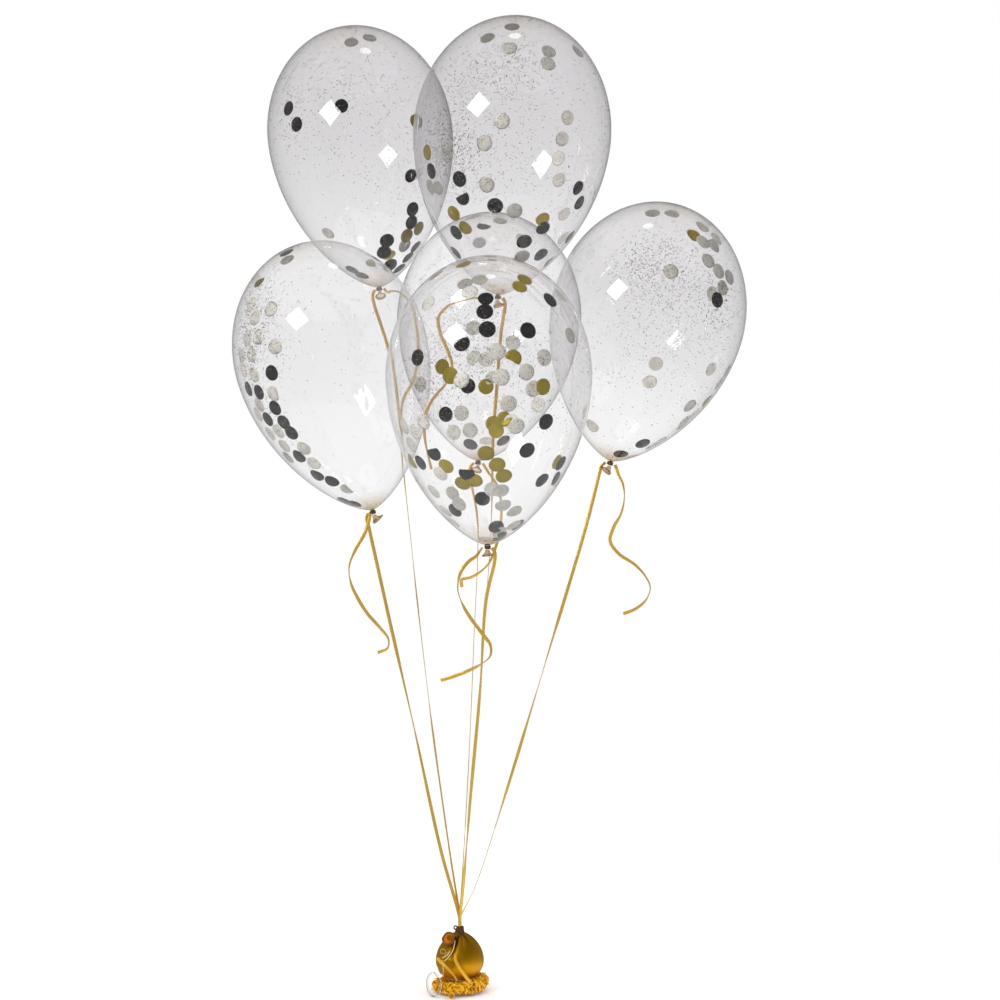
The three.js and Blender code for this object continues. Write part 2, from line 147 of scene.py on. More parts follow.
# Where each disc of confetti clings in its balloon: its bearing round the balloon's axis in degrees, 0 facing the
# front and 90 facing +X, and its height above the balloon's middle in radii
CONFETTI = {
    "top_left": dict(
        black=[(-45, 0.16), (-39, -0.05), (-166, 0.62), (43, -1.05), (46, -1.17), (19, -1.34), (16, -1.44),
               (34, -1.55), (129, -1.24), (135, -1.35), (139, -1.48), (150, -0.29), (-138, -1.41),
               (-147, -1.5)],
        silver=[(175, 1.14), (121, 1.13), (146, -0.29), (48, -1.38), (-138, -0.9)],
        gold=[(40, -0.18), (60, -1.21), (45, -1.29), (167, -1.24), (-174, -1.31)],
    ),
    "top": dict(
        black=[(-57, -0.5), (-32, -0.58), (-31, -0.75), (-7, -0.81), (-47, -1.08), (21, -1.12), (48, -1.22),
               (148, -0.87), (128, -0.43), (121, -0.59), (76, -1.0), (-114, -1.24)],
        silver=[(-137, -0.19), (-117, -0.57), (-126, -0.56), (-7, 0.73), (20, 0.61), (-158, 1.13), (106, 0.92),
                (149, 0.95), (-137, 1.01), (-6, -0.01), (-15, -0.23), (-13, -0.62), (144, 0.32), (148, 0.1),
                (149, -0.11), (146, -0.34), (133, -0.71), (7, -0.84), (25, -1.26), (118, -0.98)],
        gold=[(-59, -0.32), (-42, -0.9), (151, -0.77), (81, -1.26), (-146, -0.94)],
    ),
    "right": dict(
        black=[(38, 0.25), (41, -1.31), (152, -1.46)],
        silver=[(26, 0.79), (124, 1.07), (37, 0.79), (112, 0.98), (29, 0.61), (38, 0.54), (49, 0.52),
                (42, 0.39), (135, 0.46), (4, 0.39), (164, -0.4), (164, -0.61), (121, -0.34), (-41, -1.26),
                (75, -0.37), (75, -0.52), (54, -0.83), (67, -0.98), (101, -0.86), (71, -1.02), (70, -1.24),
                (107, -1.3), (83, -1.46), (-179, 1.13), (-147, 1.09)],
        gold=[(75, -0.72), (148, 0.99)],
    ),
    "left": dict(
        black=[(-35, -0.09), (-62, -0.16), (-51, -0.23), (-43, -0.43), (-55, -0.51), (-42, -0.59), (-40, -0.71),
               (-48, -0.95), (-47, -1.18), (-36, -1.28), (-51, -1.56), (-111, -1.5), (-116, 1.15)],
        silver=[(-28, 0.53), (-48, 0.65), (-42, 0.5), (-50, 0.32), (-40, 0.3), (-28, 0.15), (-60, 0.18),
                (-48, 0.15), (-61, 0.04), (-50, -0.05), (-39, -0.29), (-57, -0.35), (-65, -0.43), (-64, -0.65),
                (-52, -0.66), (-56, -0.81), (-38, -0.89), (-39, -1.06), (-106, -0.91), (-147, -1.39),
                (-143, 1.1)],
        gold=[(-110, 0.95)],
    ),
    "front": dict(
        black=[(-3, 0.75), (-1, 0.6), (25, 0.58), (54, 0.82), (-16, 0.47), (-44, 0.3), (-167, -0.26),
               (-151, -0.53), (34, -0.28), (24, -0.55), (-35, -0.61), (-50, -0.74), (-14, -0.79), (58, -0.76),
               (43, -0.9), (102, -1.04), (-173, -1.33), (-127, -1.4), (158, -1.56), (100, -1.5), (114, -1.62),
               (-177, 0.66)],
        silver=[(-17, 0.91), (-51, 0.78), (-159, 0.83), (-171, 0.87), (58, 0.49), (112, 0.77), (-171, 0.02),
                (-178, 0.01), (5, 0.4), (33, 0.33), (21, 0.21), (7, 0.17), (178, -0.19), (-15, 0.14),
                (25, 0.05), (148, -0.42), (11, -0.08), (16, -0.3), (165, -0.61), (-162, -0.53), (-167, -0.7),
                (-155, -0.71), (-39, -0.3), (-58, -0.4), (-47, -0.42), (-55, -0.57), (-69, -0.54), (-34, -0.82),
                (-50, -1.05), (-138, -1.26), (-139, -1.36), (10, -0.97), (14, -1.14), (27, -1.22), (40, -1.41),
                (135, -1.6), (-51, -1.27), (-54, -1.4), (-5, -1.59), (75, -0.29), (166, 0.19), (-170, 0.34),
                (-135, -0.2), (176, -1.25)],
        gold=[(-1, -0.57), (6, -0.69), (11, -0.81), (-28, -0.73), (-18, -0.9), (-9, -0.86), (-63, -0.77),
              (14, 0.34), (-21, 0.17), (-151, -0.05), (-178, -0.27), (31, 0.06), (170, -0.59), (177, -0.64),
              (175, -0.7), (-58, 1.12), (148, 0.89), (156, 0.8), (115, -0.91), (-112, 0.96)],
    ),
    "back": dict(
        black=[(-23, -1.46), (51, -1.39), (-10, 0.85)],
        silver=[(-31, 1.0), (172, -1.27), (161, 1.17), (-158, 1.01), (138, 1.05)],
        gold=[],
    ),
}

# Where the glitter clings in each balloon: bearing, height, their two spreads as above, and how many flecks
GLITTER_DRIFTS = {
    "top_left": [(-12, 0.1, 26, 0.4, 620), (-45, 0.1, 8, 0.2, 160), (30, -0.7, 24, 0.35, 320),
                 (120, 0.1, 90, 0.6, 420)],
    "top": [(-4, 0.5, 14, 0.2, 520), (-32, 0.2, 14, 0.36, 520), (-34, -0.3, 10, 0.14, 320), (-20, -0.3, 18, 0.3, 420),
            (20, -0.6, 26, 0.3, 320), (-140, -0.25, 9, 0.22, 620), (120, 0.2, 90, 0.6, 520)],
    "right": [(-8, 0.36, 13, 0.18, 780), (8, 0.25, 22, 0.34, 920), (40, 0.2, 10, 0.2, 360), (10, -0.5, 30, 0.4, 420),
              (150, 0.1, 90, 0.6, 320)],
    "left": [(-42, 0.5, 13, 0.22, 820), (-50, 0.1, 14, 0.24, 420), (-45, -0.4, 8, 0.4, 220), (0, 0.2, 40, 0.5, 180),
             (180, 0, 90, 0.6, 180)],
    "front": [(-30, 0.25, 12, 0.24, 620), (-8, 0.5, 16, 0.2, 520), (-34, -0.05, 9, 0.14, 320), (14, 0.0, 24, 0.3, 420),
              (180, 0.1, 60, 0.5, 620)],
    "back": [(0, 0.2, 40, 0.4, 420), (180, 0.2, 60, 0.4, 320)],
}

# How much painted shade greys the skin of each balloon, from 0 to 1, and how far below its middle it reaches, in radii
PAINTED_SHADE = {"front": (0.0, 1.0), "top": (1.0, 2.1), "left": (0.3, 1.3), "right": (0.75, 1.4), "top_left": (1.0, 2.1),
            "back": (0.12, 1.3)}


class BouquetSizes(bpy.types.PropertyGroup):
    """Sizes that drive the shapes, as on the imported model."""

    balloon_radius: FloatProperty(name="Balloon radius", description="Half the widest width of each clear balloon",
                                  default=144.5 * MM, unit="LENGTH")
    crown_height: FloatProperty(name="Crown height", description="Height of the round top, in radii", default=1.175)
    taper_fullness: FloatProperty(name="Taper fullness", description="How long the taper stays full", default=1.9)
    taper_point: FloatProperty(name="Taper point", description="How blunt the taper ends", default=0.71)
    latex_wall: FloatProperty(name="Latex wall", description="Thickness of the stretched skin", default=0.3 * MM,
                              unit="LENGTH")
    neck_radius: FloatProperty(name="Neck radius", description="Where the neck is bound", default=2.4 * MM,
                               unit="LENGTH")
    wrap_height: FloatProperty(name="Binding height", description="Height of the ribbon turns on a neck",
                               default=6 * MM, unit="LENGTH")
    wrap_thickness: FloatProperty(name="Binding thickness", description="Depth of the ribbon turns on a neck",
                                  default=1.7 * MM, unit="LENGTH")
    lip_radius: FloatProperty(name="Lip radius", description="Radius of the rolled rim below the binding",
                              default=8.5 * MM, unit="LENGTH")
    lip_drop: FloatProperty(name="Lip drop", description="From the binding down to the rolled rim",
                            default=8 * MM, unit="LENGTH")
    lip_roll: FloatProperty(name="Lip roll", description="Half the thickness of the rolled rim",
                            default=1.1 * MM, unit="LENGTH")
    ribbon_width: FloatProperty(name="Ribbon width", description="Width of the curling ribbon", default=5 * MM,
                                unit="LENGTH")
    ribbon_thickness: FloatProperty(name="Ribbon thickness", description="Thickness of the curling ribbon",
                                    default=0.3 * MM, unit="LENGTH")
    confetti_diameter: FloatProperty(name="Confetti diameter", description="Width of a paper disc",
                                     default=23 * MM, unit="LENGTH")
    glitter_size: FloatProperty(name="Glitter size", description="Width of one fleck", default=1.5 * MM,
                                unit="LENGTH")
    weight_radius: FloatProperty(name="Weight radius", description="Half the width of the small balloon",
                                 default=36 * MM, unit="LENGTH")
    weight_crown: FloatProperty(name="Weight underside", description="From its widest place down to its underside",
                                default=31 * MM, unit="LENGTH")
    weight_shoulder: FloatProperty(name="Weight shoulder", description="From its widest place up to the neck",
                                   default=43 * MM, unit="LENGTH")
    weight_neck: FloatProperty(name="Weight neck", description="Radius of the small balloon's neck",
                               default=3.4 * MM, unit="LENGTH")
    weight_seat: FloatProperty(name="Weight seat", description="Height of its underside above the floor",
                               default=16 * MM, unit="LENGTH")
    mouth_radius: FloatProperty(name="Mouth radius", description="Middle of the rolled rim of its open mouth",
                                default=8.6 * MM, unit="LENGTH")
    mouth_roll: FloatProperty(name="Mouth roll", description="Half the thickness of that rim", default=1.6 * MM,
                              unit="LENGTH")
    nest_radius: FloatProperty(name="Nest radius", description="Outer radius of the heap of curls",
                               default=48 * MM, unit="LENGTH")
    nest_height: FloatProperty(name="Nest height", description="Height of the heap of curls", default=27 * MM,
                               unit="LENGTH")
    nest_curls: IntProperty(name="Nest curls", description="How many curled strips the nest has", default=130)
    nest_shreds: IntProperty(name="Nest shreds", description="How many crimped shreds the nest has", default=110)
    loop_radius: FloatProperty(name="Loop radius", description="Half the width of the loop of clear ribbon",
                               default=15 * MM, unit="LENGTH")
    seed: IntProperty(name="Seed", description="Number that the scattering of confetti starts from", default=7)


class BouquetColours(bpy.types.PropertyGroup):
    """Colours of the finishes."""

    latex: FloatVectorProperty(name="Latex", description="Tint of the stretched skin", subtype="COLOR",
                               default=(0.992, 0.990, 0.993))
    # Painted shade: the grey mixed into the upper skin, more in some balloons than in others
    latex_painted_shade: FloatVectorProperty(name="Latex shade", description="Tint of the upper skin", subtype="COLOR",
                                     default=(0.850, 0.841, 0.849))
    latex_tip: FloatVectorProperty(name="Latex ends", description="Tint where the skin is thick", subtype="COLOR",
                                   default=(0.72, 0.62, 0.48))
    paper_black: FloatVectorProperty(name="Black discs", description="Black tissue paper", subtype="COLOR",
                                     default=(0.006, 0.0055, 0.006))
    paper_silver: FloatVectorProperty(name="Silver discs", description="Silver-grey tissue paper", subtype="COLOR",
                                      default=(0.77, 0.745, 0.67))
    paper_gold: FloatVectorProperty(name="Gold discs", description="Old gold foil paper", subtype="COLOR",
                                    default=(0.33, 0.25, 0.010))
    ribbon_gold: FloatVectorProperty(name="Ribbon gold", description="Gold curling ribbon", subtype="COLOR",
                                     default=(0.90, 0.52, 0.075))
    # Painted shade: the gold ribbon of the neck bindings and the knot, darkened as if in the shade of its turns
    old_gold: FloatVectorProperty(name="Old gold", description="Ribbon in the shade of its own turns",
                                  subtype="COLOR", default=(0.13, 0.055, 0.014))
    bright_gold: FloatVectorProperty(name="Bright gold", description="Ribbon of the nest", subtype="COLOR",
                                     default=(1.0, 0.45, 0.006))
    chrome_gold: FloatVectorProperty(name="Chrome gold", description="Metallic latex of the weight",
                                     subtype="COLOR", default=(0.76, 0.38, 0.006))
    mouth_orange: FloatVectorProperty(name="Mouth", description="Latex inside the weight's mouth",
                                      subtype="COLOR", default=(0.78, 0.25, 0.008))
    floor: FloatVectorProperty(name="Floor", description="Pale floor", subtype="COLOR", default=(0.93, 0.93, 0.93))


class BouquetStage(bpy.types.PropertyGroup):
    """Camera, lights and surroundings."""

    camera_place: FloatVectorProperty(name="Camera", description="Where the camera stands", subtype="TRANSLATION",
                                      default=(0.060, -3.0, 0.734))
    focal_pixels: FloatProperty(name="Focal length", description="In pixels of a 1000 pixel wide picture",
                                default=2008.0)
    softbox_place: FloatVectorProperty(name="Softbox", description="Middle of the lozenge softbox",
                                       subtype="TRANSLATION", default=(-1.695, -2.192, 2.199))
    softbox_width: FloatProperty(name="Softbox width", description="Its wider diagonal", default=1.53, unit="LENGTH")
    softbox_height: FloatProperty(name="Softbox height", description="Its other diagonal", default=1.12,
                                  unit="LENGTH")
    softbox_tilt: FloatProperty(name="Softbox tilt", description="Degrees that it is turned about its own middle",
                                default=-4.4)
    softbox_glow: FloatProperty(name="Softbox glow", description="Its brightness away from the rim", default=10.0)
    ceiling_place: FloatVectorProperty(name="Ceiling light", description="Middle of the light overhead",
                                       subtype="TRANSLATION", default=(0.10, -0.08, 3.6))
    ceiling_side: FloatProperty(name="Ceiling light side", description="Width of the light overhead", default=0.38,
                                unit="LENGTH")
    ceiling_power: FloatProperty(name="Ceiling light power", description="In watts", default=0.9)
    mat_place: FloatVectorProperty(name="Mat", description="Middle of the white mat that the weight mirrors",
                                   subtype="TRANSLATION", default=(0.17, -0.12, 0.0002))
    mat_radius: FloatProperty(name="Mat radius", description="Radius of that mat", default=0.21, unit="LENGTH")
    floor_radius: FloatProperty(name="Floor radius", description="Radius of the round pale floor", default=1.5,
                                unit="LENGTH")
    backdrop: FloatProperty(name="Backdrop", description="Brightness of the white surroundings", default=1.0)
    fill: FloatProperty(name="Fill", description="Brightness of the soft light from all round", default=1.25)
    studio: FloatProperty(name="Studio", description="Brightness of what shiny surfaces mirror", default=0.23)
    inner_dimming: FloatProperty(name="Inner dimming", default=0.4,
                                 description="How far what the inner walls mirror is dimmed to the studio")


def sizes():
    """The sizes of the scene."""
    return bpy.context.scene.bouquet_sizes


def colours():
    """The colours of the scene."""
    return bpy.context.scene.bouquet_colours


# Meshes from arrays


def grid_faces(rows, columns, wrap=True):
    """Quads between neighbouring rows and columns, facing outwards when the rows run down and the columns run
    anticlockwise as seen from above."""
    row = np.arange(rows - 1)[:, None]
    column = np.arange(columns if wrap else columns - 1)[None, :]
    after = (column + 1) % columns
    corners = (row * columns + column, (row + 1) * columns + column,
               (row + 1) * columns + after, row * columns + after)
    return np.stack(np.broadcast_arrays(*corners), -1).reshape(-1, 4)


def lathe(outline, sides):
    """An outline of radius and height turned about +Z. Its first and last points lie on the axis and become single
    points. Rows that run down give a surface that faces outwards. Returns points, faces and each point's row."""
    rings = outline[1:-1]
    angle = np.arange(sides) * (2 * np.pi / sides)
    ring = np.stack([rings[:, :1] * np.cos(angle), rings[:, :1] * np.sin(angle),
                     np.repeat(rings[:, 1:], sides, axis=1)], -1).reshape(-1, 3)
    points = np.concatenate([[[0, 0, outline[0, 1]]], ring, [[0, 0, outline[-1, 1]]]])
    around = np.arange(sides)
    after = (around + 1) % sides
    last = 1 + (len(rings) - 1) * sides
    top = np.stack([np.zeros(sides, int), 1 + around, 1 + after], -1)
    bottom = np.stack([np.full(sides, last + sides), last + after, last + around], -1)
    faces = [*top.tolist(), *(grid_faces(len(rings), sides) + 1).tolist(), *bottom.tolist()]
    row = np.concatenate([[0], np.repeat(np.arange(1, len(rings) + 1), sides), [len(rings) + 1]])
    return points, faces, row


def make_piece(name, points, faces, materials, attributes=None, face_slots=None, smooth=True, body="root"):
    """Puts arrays of points and faces into a new object that rides on a body of the frame."""
    mesh = bpy.data.meshes.new(name)
    mesh.from_pydata(np.asarray(points, float).tolist(), [], faces if isinstance(faces, list) else faces.tolist())
    for material in materials:
        mesh.materials.append(material)
    for label, values in (attributes or {}).items():
        mesh.attributes.new(label, "FLOAT", "POINT").data.foreach_set("value", np.asarray(values, np.float32))
    if face_slots is not None:
        mesh.polygons.foreach_set("material_index", np.asarray(face_slots, np.int32))
    if smooth:
        mesh.polygons.foreach_set("use_smooth", np.ones(len(mesh.polygons), bool))
    mesh.update()
    piece = bpy.data.objects.new(name, mesh)
    bpy.context.scene.collection.objects.link(piece)
    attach(piece, body)
    return piece


def joined(parts):
    """Several surfaces as one. Each part is its points, its faces and a dict of values for its points."""
    points, faces, values, start = [], [], {}, 0
    for part_points, part_faces, part_values in parts:
        points.append(part_points)
        part_faces = part_faces if isinstance(part_faces, list) else part_faces.tolist()
        faces += [[corner + start for corner in face] for face in part_faces]
        for label, numbers in part_values.items():
            values.setdefault(label, []).append(np.broadcast_to(numbers, len(part_points)))
        start += len(part_points)
    return np.concatenate(points), faces, {label: np.concatenate(v) for label, v in values.items()}


# Curves and ribbons


def spline(points, steps):
    """A smooth curve through points, with steps points from each to the next. Each span blends the lines through
    its four nearest points, with knots spaced by the square root of the distances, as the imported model's is."""
    p = np.asarray(points, float)
    p = np.concatenate([[2 * p[0] - p[1]], p, [2 * p[-1] - p[-2]]])
    knots = np.concatenate([[0], np.cumsum(np.linalg.norm(np.diff(p, axis=0), axis=1) ** 0.5)])
    span = np.repeat(np.arange(1, len(p) - 2), steps)
    share = np.tile(np.arange(steps) / steps, len(p) - 3)
    span, share = np.append(span, len(p) - 3), np.append(share, 1.0)
    t = (knots[span] * (1 - share) + knots[span + 1] * share)[:, None]

    def between(a, b, first, last):
        start, end = knots[first][:, None], knots[last][:, None]
        return (a * (end - t) + b * (t - start)) / (end - start)

    low = [between(p[span + i - 1], p[span + i], span + i - 1, span + i) for i in range(3)]
    middle = [between(low[i], low[i + 1], span + i - 1, span + i + 1) for i in range(2)]
    return between(middle[0], middle[1], span, span + 1)


def eased(values, share):
    """Numbers given at even steps, read at shares from 0 to 1 with a soft turn at each step."""
    values = np.asarray(values, float)
    place = np.clip(share, 0, 1) * (len(values) - 1)
    before = np.minimum(place.astype(int), len(values) - 2)
    part = place - before
    part = part * part * (3 - 2 * part)
    return values[before] * (1 - part) + values[before + 1] * part


def directions(path):
    """The direction of travel at each point of a path."""
    along = np.gradient(path, axis=0)
    return along / np.linalg.norm(along, axis=1, keepdims=True)


def distances(path):
    """How far along the path each of its points is."""
    return np.concatenate([[0], np.cumsum(np.linalg.norm(np.diff(path, axis=0), axis=1))])


def strip(path, turns, width, thickness, camber=0.1, across=5, facing=(0, 1, 0)):
    """A flat ribbon along a path. Its width lies square to the path and to facing, which is the front or one
    direction for each point, and turned from there by so many degrees. Its section is two arcs that bulge by camber
    of the width, thickness apart. Returns points, faces, and how far across and along each point is."""
    along = directions(path)
    level = np.cross(along, facing)
    level /= np.linalg.norm(level, axis=1, keepdims=True)
    deep = np.cross(level, along)
    angle = np.broadcast_to(np.radians(turns), len(path))[:, None]
    wide = level * np.cos(angle) + deep * np.sin(angle)
    up = np.cross(along, wide)
    place = np.linspace(-1, 1, across)
    bulge = camber * width * (1 - place ** 2)
    side = np.concatenate([place, place[::-1]]) * width / 2
    rise = np.concatenate([bulge + thickness / 2, bulge[::-1] - thickness / 2])
    points = path[:, None] + wide[:, None] * side[None, :, None] + up[:, None] * rise[None, :, None]
    count = 2 * across
    faces = grid_faces(len(path), count)
    edge = np.arange(across - 1)
    cap = np.stack([edge, edge + 1, count - 2 - edge, count - 1 - edge], -1)
    faces = np.concatenate([faces, cap, cap[:, ::-1] + (len(path) - 1) * count])
    values = dict(across=np.tile(np.concatenate([place, place[::-1]]), len(path)),
                  along=np.repeat(distances(path), count))
    return points.reshape(-1, 3), faces, values


# Balloons


def turn_onto(axis):
    """The matrix that turns +Z onto an axis by the shortest way."""
    turn = Vector((0, 0, 1)).rotation_difference(Vector(axis)).to_matrix()
    return np.array(turn)


def stand_of(name):
    """The middle of a balloon and the matrix that stands it on its leaning axis."""
    balloon = BALLOONS[name]
    middle = BUNCH_MIDDLE + sizes().balloon_radius * np.array(balloon["at"])
    lean = np.tan(np.radians(balloon["lean"]))
    return middle, turn_onto((lean[0], lean[1], 1))


def stood(name, points):
    """Points of a balloon on +Z, put where the balloon stands."""
    middle, turn = stand_of(name)
    return points @ turn.T + middle


def wall_radius(height, taper):
    """The radius of a balloon in radii, at a height above its middle in radii: an ellipse above, and below it one
    minus the share of the taper's length to a power, to another power."""
    s = sizes()
    above = np.sqrt(np.clip(1 - (height / s.crown_height) ** 2, 0, 1))
    share = np.clip(-height / taper, 0, 1)
    below = (1 - share ** s.taper_fullness) ** s.taper_point
    return np.where(height > 0, above, below)


def neck_share(taper):
    """The share of the taper's length at which it has shrunk to the neck."""
    s = sizes()
    return (1 - (s.neck_radius / s.balloon_radius) ** (1 / s.taper_point)) ** (1 / s.taper_fullness)


def neck_top(taper):
    """Height of the neck's top, from the balloon's middle."""
    return -sizes().balloon_radius * taper * neck_share(taper)


def body_outline(taper, crown_steps=30, taper_steps=54):
    """Radius and height from the top of the crown to the neck, with short steps at both ends."""
    s = sizes()
    crown = np.radians(np.linspace(90, 0, crown_steps + 1))
    fall = np.sin(np.linspace(0, math.asin(neck_share(taper)), taper_steps + 1)[1:])
    height = np.concatenate([s.crown_height * np.sin(crown), -taper * fall])
    return np.stack([wall_radius(height, taper), height], -1) * s.balloon_radius


def inset(outline, distance):
    """An outline that runs down, moved inwards by a distance square to itself."""
    step = np.gradient(outline, axis=0)
    step /= np.linalg.norm(step, axis=1, keepdims=True)
    return outline + distance * np.stack([step[:, 1], -step[:, 0]], -1)


def lip_outline(taper, steps=14):
    """Radius and height of the lip, down the outside of the flaring trumpet, round the rolled rim and up the inside
    to a point on the axis. The trumpet's radius grows with the 1.7th power of the drop."""
    s = sizes()
    top = neck_top(taper) - s.wrap_height - 0.6 * MM
    share = np.linspace(0, 1, steps)
    flare = s.neck_radius + (s.lip_radius - s.lip_roll - s.neck_radius) * share ** 1.7
    outside = np.stack([flare, top - s.lip_drop * share], -1)
    around = np.radians(np.linspace(100, -190, 12))
    middle = outside[-1] + (0, -0.4 * s.lip_roll)
    roll = middle + s.lip_roll * np.stack([np.cos(around), np.sin(around)], -1)
    film = 0.35 * MM
    inside = inset(outside, film)[::-1][1:-3]
    inside = inside[inside[:, 0] > film]
    apex = [[0, inside[-1, 1] + film]]
    return np.concatenate([outside[:-1], roll, inside, apex])


def flopped(points, taper, bearing, amount):
    """The lip of soft latex hangs over to one side: each point moves sideways with the square of its drop below
    the binding, and the ring widens to an oval."""
    s = sizes()
    top = neck_top(taper) - s.wrap_height
    drop = np.clip((top - points[:, 2]) / s.lip_drop, 0, 1.2)
    way = np.array([math.sin(math.radians(bearing)), -math.cos(math.radians(bearing)), 0])
    aside = points @ way
    moved = points + np.outer(drop ** 2 * amount * s.lip_radius, way)
    moved[:, 2] += drop ** 2 * amount * aside * 0.9
    return moved


# Bearing and strength of each lip's flop, so that no two hang alike
LIP_FLOPS = {"front": (20, 0.25), "top": (60, 0.35), "left": (70, 0.45), "right": (-60, 0.45),
             "top_left": (10, 0.3), "back": (-30, 0.3)}


def balloon_skin(name, sides=112):
    """The closed latex skin of a balloon: an outer wall that ends in the flared lip, and an inner wall round the
    helium that faces inwards. The value named end is 0 where the skin is stretched thin and 1 at the lip."""
    taper = BALLOONS[name]["taper"]
    body = body_outline(taper)
    lip = lip_outline(taper)
    outline = np.concatenate([body, lip])
    outline[0, 0] = 0
    outside, outside_faces, row = lathe(outline, sides)
    outside = flopped(outside, taper, *LIP_FLOPS[name])
    cavity = inset(body, sizes().latex_wall)
    cavity = cavity[cavity[:, 0] > 2.6 * MM]
    cavity = np.concatenate([[[0, cavity[0, 1]]], cavity, [[0, cavity[-1, 1] - 1 * MM]]])[::-1]
    inside, inside_faces, inside_row = lathe(cavity, sides)

    def thick(rows, heights):
        height = heights[rows] / sizes().balloon_radius
        low = np.clip((-height / taper - 0.88) / 0.12, 0, 1) ** 1.6
        high = np.clip((height / sizes().crown_height - 0.80) / 0.2, 0, 1) ** 1.5
        return np.maximum(low, 0.25 * high)

    rim = np.zeros(len(outside))
    first = len(body) + 12
    rim[(row >= first) & (row < first + 13)] = 1
    # Painted shade: the value named shade greys the skin from the crown down, as far as each balloon's reach
    def painted_shade(rows, heights):
        height = heights[rows] / sizes().balloon_radius
        grey, reach = PAINTED_SHADE[name]
        share = np.clip((height + reach) / (reach + 0.4), 0, 1)
        return grey * share * share * (3 - 2 * share)

    parts = [(outside, outside_faces, dict(end=thick(row, outline[:, 1]), rim=rim, shade=painted_shade(row, outline[:, 1]))),
             (inside, inside_faces, dict(end=thick(inside_row, cavity[:, 1]), rim=0.0,
                                         shade=painted_shade(inside_row, cavity[:, 1])))]
    points, faces, values = joined(parts)
    return stood(name, points), faces, values


def neck_winding(name, turns=4.5, steps=150, sides=8):
    """Ribbon wound round the neck, bunched into a cord: a helix with a round section, ending in a small knot on
    the side where the ribbon leaves. Returns points and faces of the winding and of the knot."""
    s = sizes()
    balloon = BALLOONS[name]
    top = neck_top(balloon["taper"]) - 0.3 * MM
    strand = 0.5 * s.wrap_thickness
    way = math.atan2(balloon["side"][1], balloon["side"][0])
    share = np.linspace(0, 1, steps)
    angle = way + 2 * np.pi * turns * share
    reach = s.neck_radius + 0.15 * MM + strand * (1 + 0.12 * np.sin(3 * angle + 1))
    fall = top - strand - (s.wrap_height - 2 * strand) * share
    path = np.stack([reach * np.cos(angle), reach * np.sin(angle), fall], -1)
    parts = [tube(path, np.full(steps, strand * 0.98), sides)]
    knot_turn = np.linspace(0, 2 * np.pi * 1.6, 60)
    out = s.neck_radius + 2.2 * strand
    middle = np.array([math.cos(way), math.sin(way), 0]) * out + (0, 0, top - 0.5 * s.wrap_height)
    flat = np.array([-math.sin(way), math.cos(way), 0])
    loop = middle + np.outer(1.1 * MM * np.cos(knot_turn), flat) + np.outer(
        1.5 * MM * np.sin(knot_turn), (0, 0, 1)) + np.outer(
        0.5 * MM * np.sin(1.7 * knot_turn), (math.cos(way), math.sin(way), 0))
    parts.append(tube(loop, np.full(len(loop), 0.65 * strand), sides))
    return joined(parts)


def tube(path, radii, sides, closed_ends=True):
    """A round tube along a path, its ends drawn together to a point. Returns points, faces, and how far round and
    along each point is."""
    along = directions(path)
    level = np.cross(along, (0.02, 0.05, 1.0))
    level /= np.linalg.norm(level, axis=1, keepdims=True)
    deep = np.cross(level, along)
    around = np.arange(sides) * (2 * np.pi / sides)
    ring = level[:, None] * np.cos(around)[None, :, None] + deep[:, None] * np.sin(around)[None, :, None]
    points = (path[:, None] + ring * np.asarray(radii)[:, None, None]).reshape(-1, 3)
    faces = grid_faces(len(path), sides)
    last = (len(path) - 1) * sides
    ends = [[*range(sides)], [last + i for i in range(sides)][::-1]]
    values = dict(across=np.tile(np.cos(around), len(path)), along=np.repeat(distances(path), sides))
    return points, [*faces.tolist(), *(ends if closed_ends else [])], values


# Confetti and glitter


def scattered(drifts, rng):
    """A bearing and height for each fleck of a balloon's drifts, scattered round each drift's middle."""
    middle = np.repeat(np.array(drifts, float), [drift[-1] for drift in drifts], axis=0)
    aside = rng.normal(size=(2, len(middle)))
    return middle[:, 0] + middle[:, 2] * aside[0], middle[:, 1] + middle[:, 3] * aside[1]


def on_wall(name, bearing, height, depth):
    """Points on the inner wall of a balloon, depth inside its outer wall, with the wall's inward direction and the
    two directions along the wall, round the axis and up."""
    taper = BALLOONS[name]["taper"]
    radius = sizes().balloon_radius
    height = np.clip(height, -0.975 * taper * neck_share(taper), 0.995 * sizes().crown_height)
    step = 1e-3
    r = wall_radius(height, taper)
    slope = (wall_radius(height + step, taper) - wall_radius(height - step, taper)) / (2 * step)
    angle = np.radians(bearing)
    out = np.stack([np.sin(angle), -np.cos(angle), np.zeros_like(angle)], -1)
    axis = np.array([0, 0, 1.0])
    rise = slope[:, None] * out + axis
    rise /= np.linalg.norm(rise, axis=1, keepdims=True)
    round_way = np.cross(axis, out)
    inward = np.cross(rise, round_way)
    inward *= np.where((inward * out).sum(1) > 0, -1, 1)[:, None]
    place = (r[:, None] * out + height[:, None] * axis) * radius + inward * np.asarray(depth)[:, None]
    _, turn = stand_of(name)
    return stood(name, place), inward @ turn.T, round_way @ turn.T, rise @ turn.T


def spread_apart(name, bearing, height, gap, rounds=12):
    """Moves discs that lie on each other apart along the wall, a little in each round, until most lie free."""
    radius = sizes().balloon_radius
    for _ in range(rounds):
        place, _, round_way, rise = on_wall(name, bearing, height, np.zeros(len(bearing)))
        apart = place[:, None] - place[None]
        distance = np.linalg.norm(apart, axis=2) + np.eye(len(place))
        push = np.clip(gap - distance, 0, None) / distance * 0.35
        shift = (apart * push[:, :, None]).sum(1)
        ring = np.maximum(wall_radius(height, BALLOONS[name]["taper"]), 0.08) * radius
        bearing = bearing + np.degrees((shift * round_way).sum(1) / ring)
        height = height + (shift * rise).sum(1) / radius
    return bearing, height


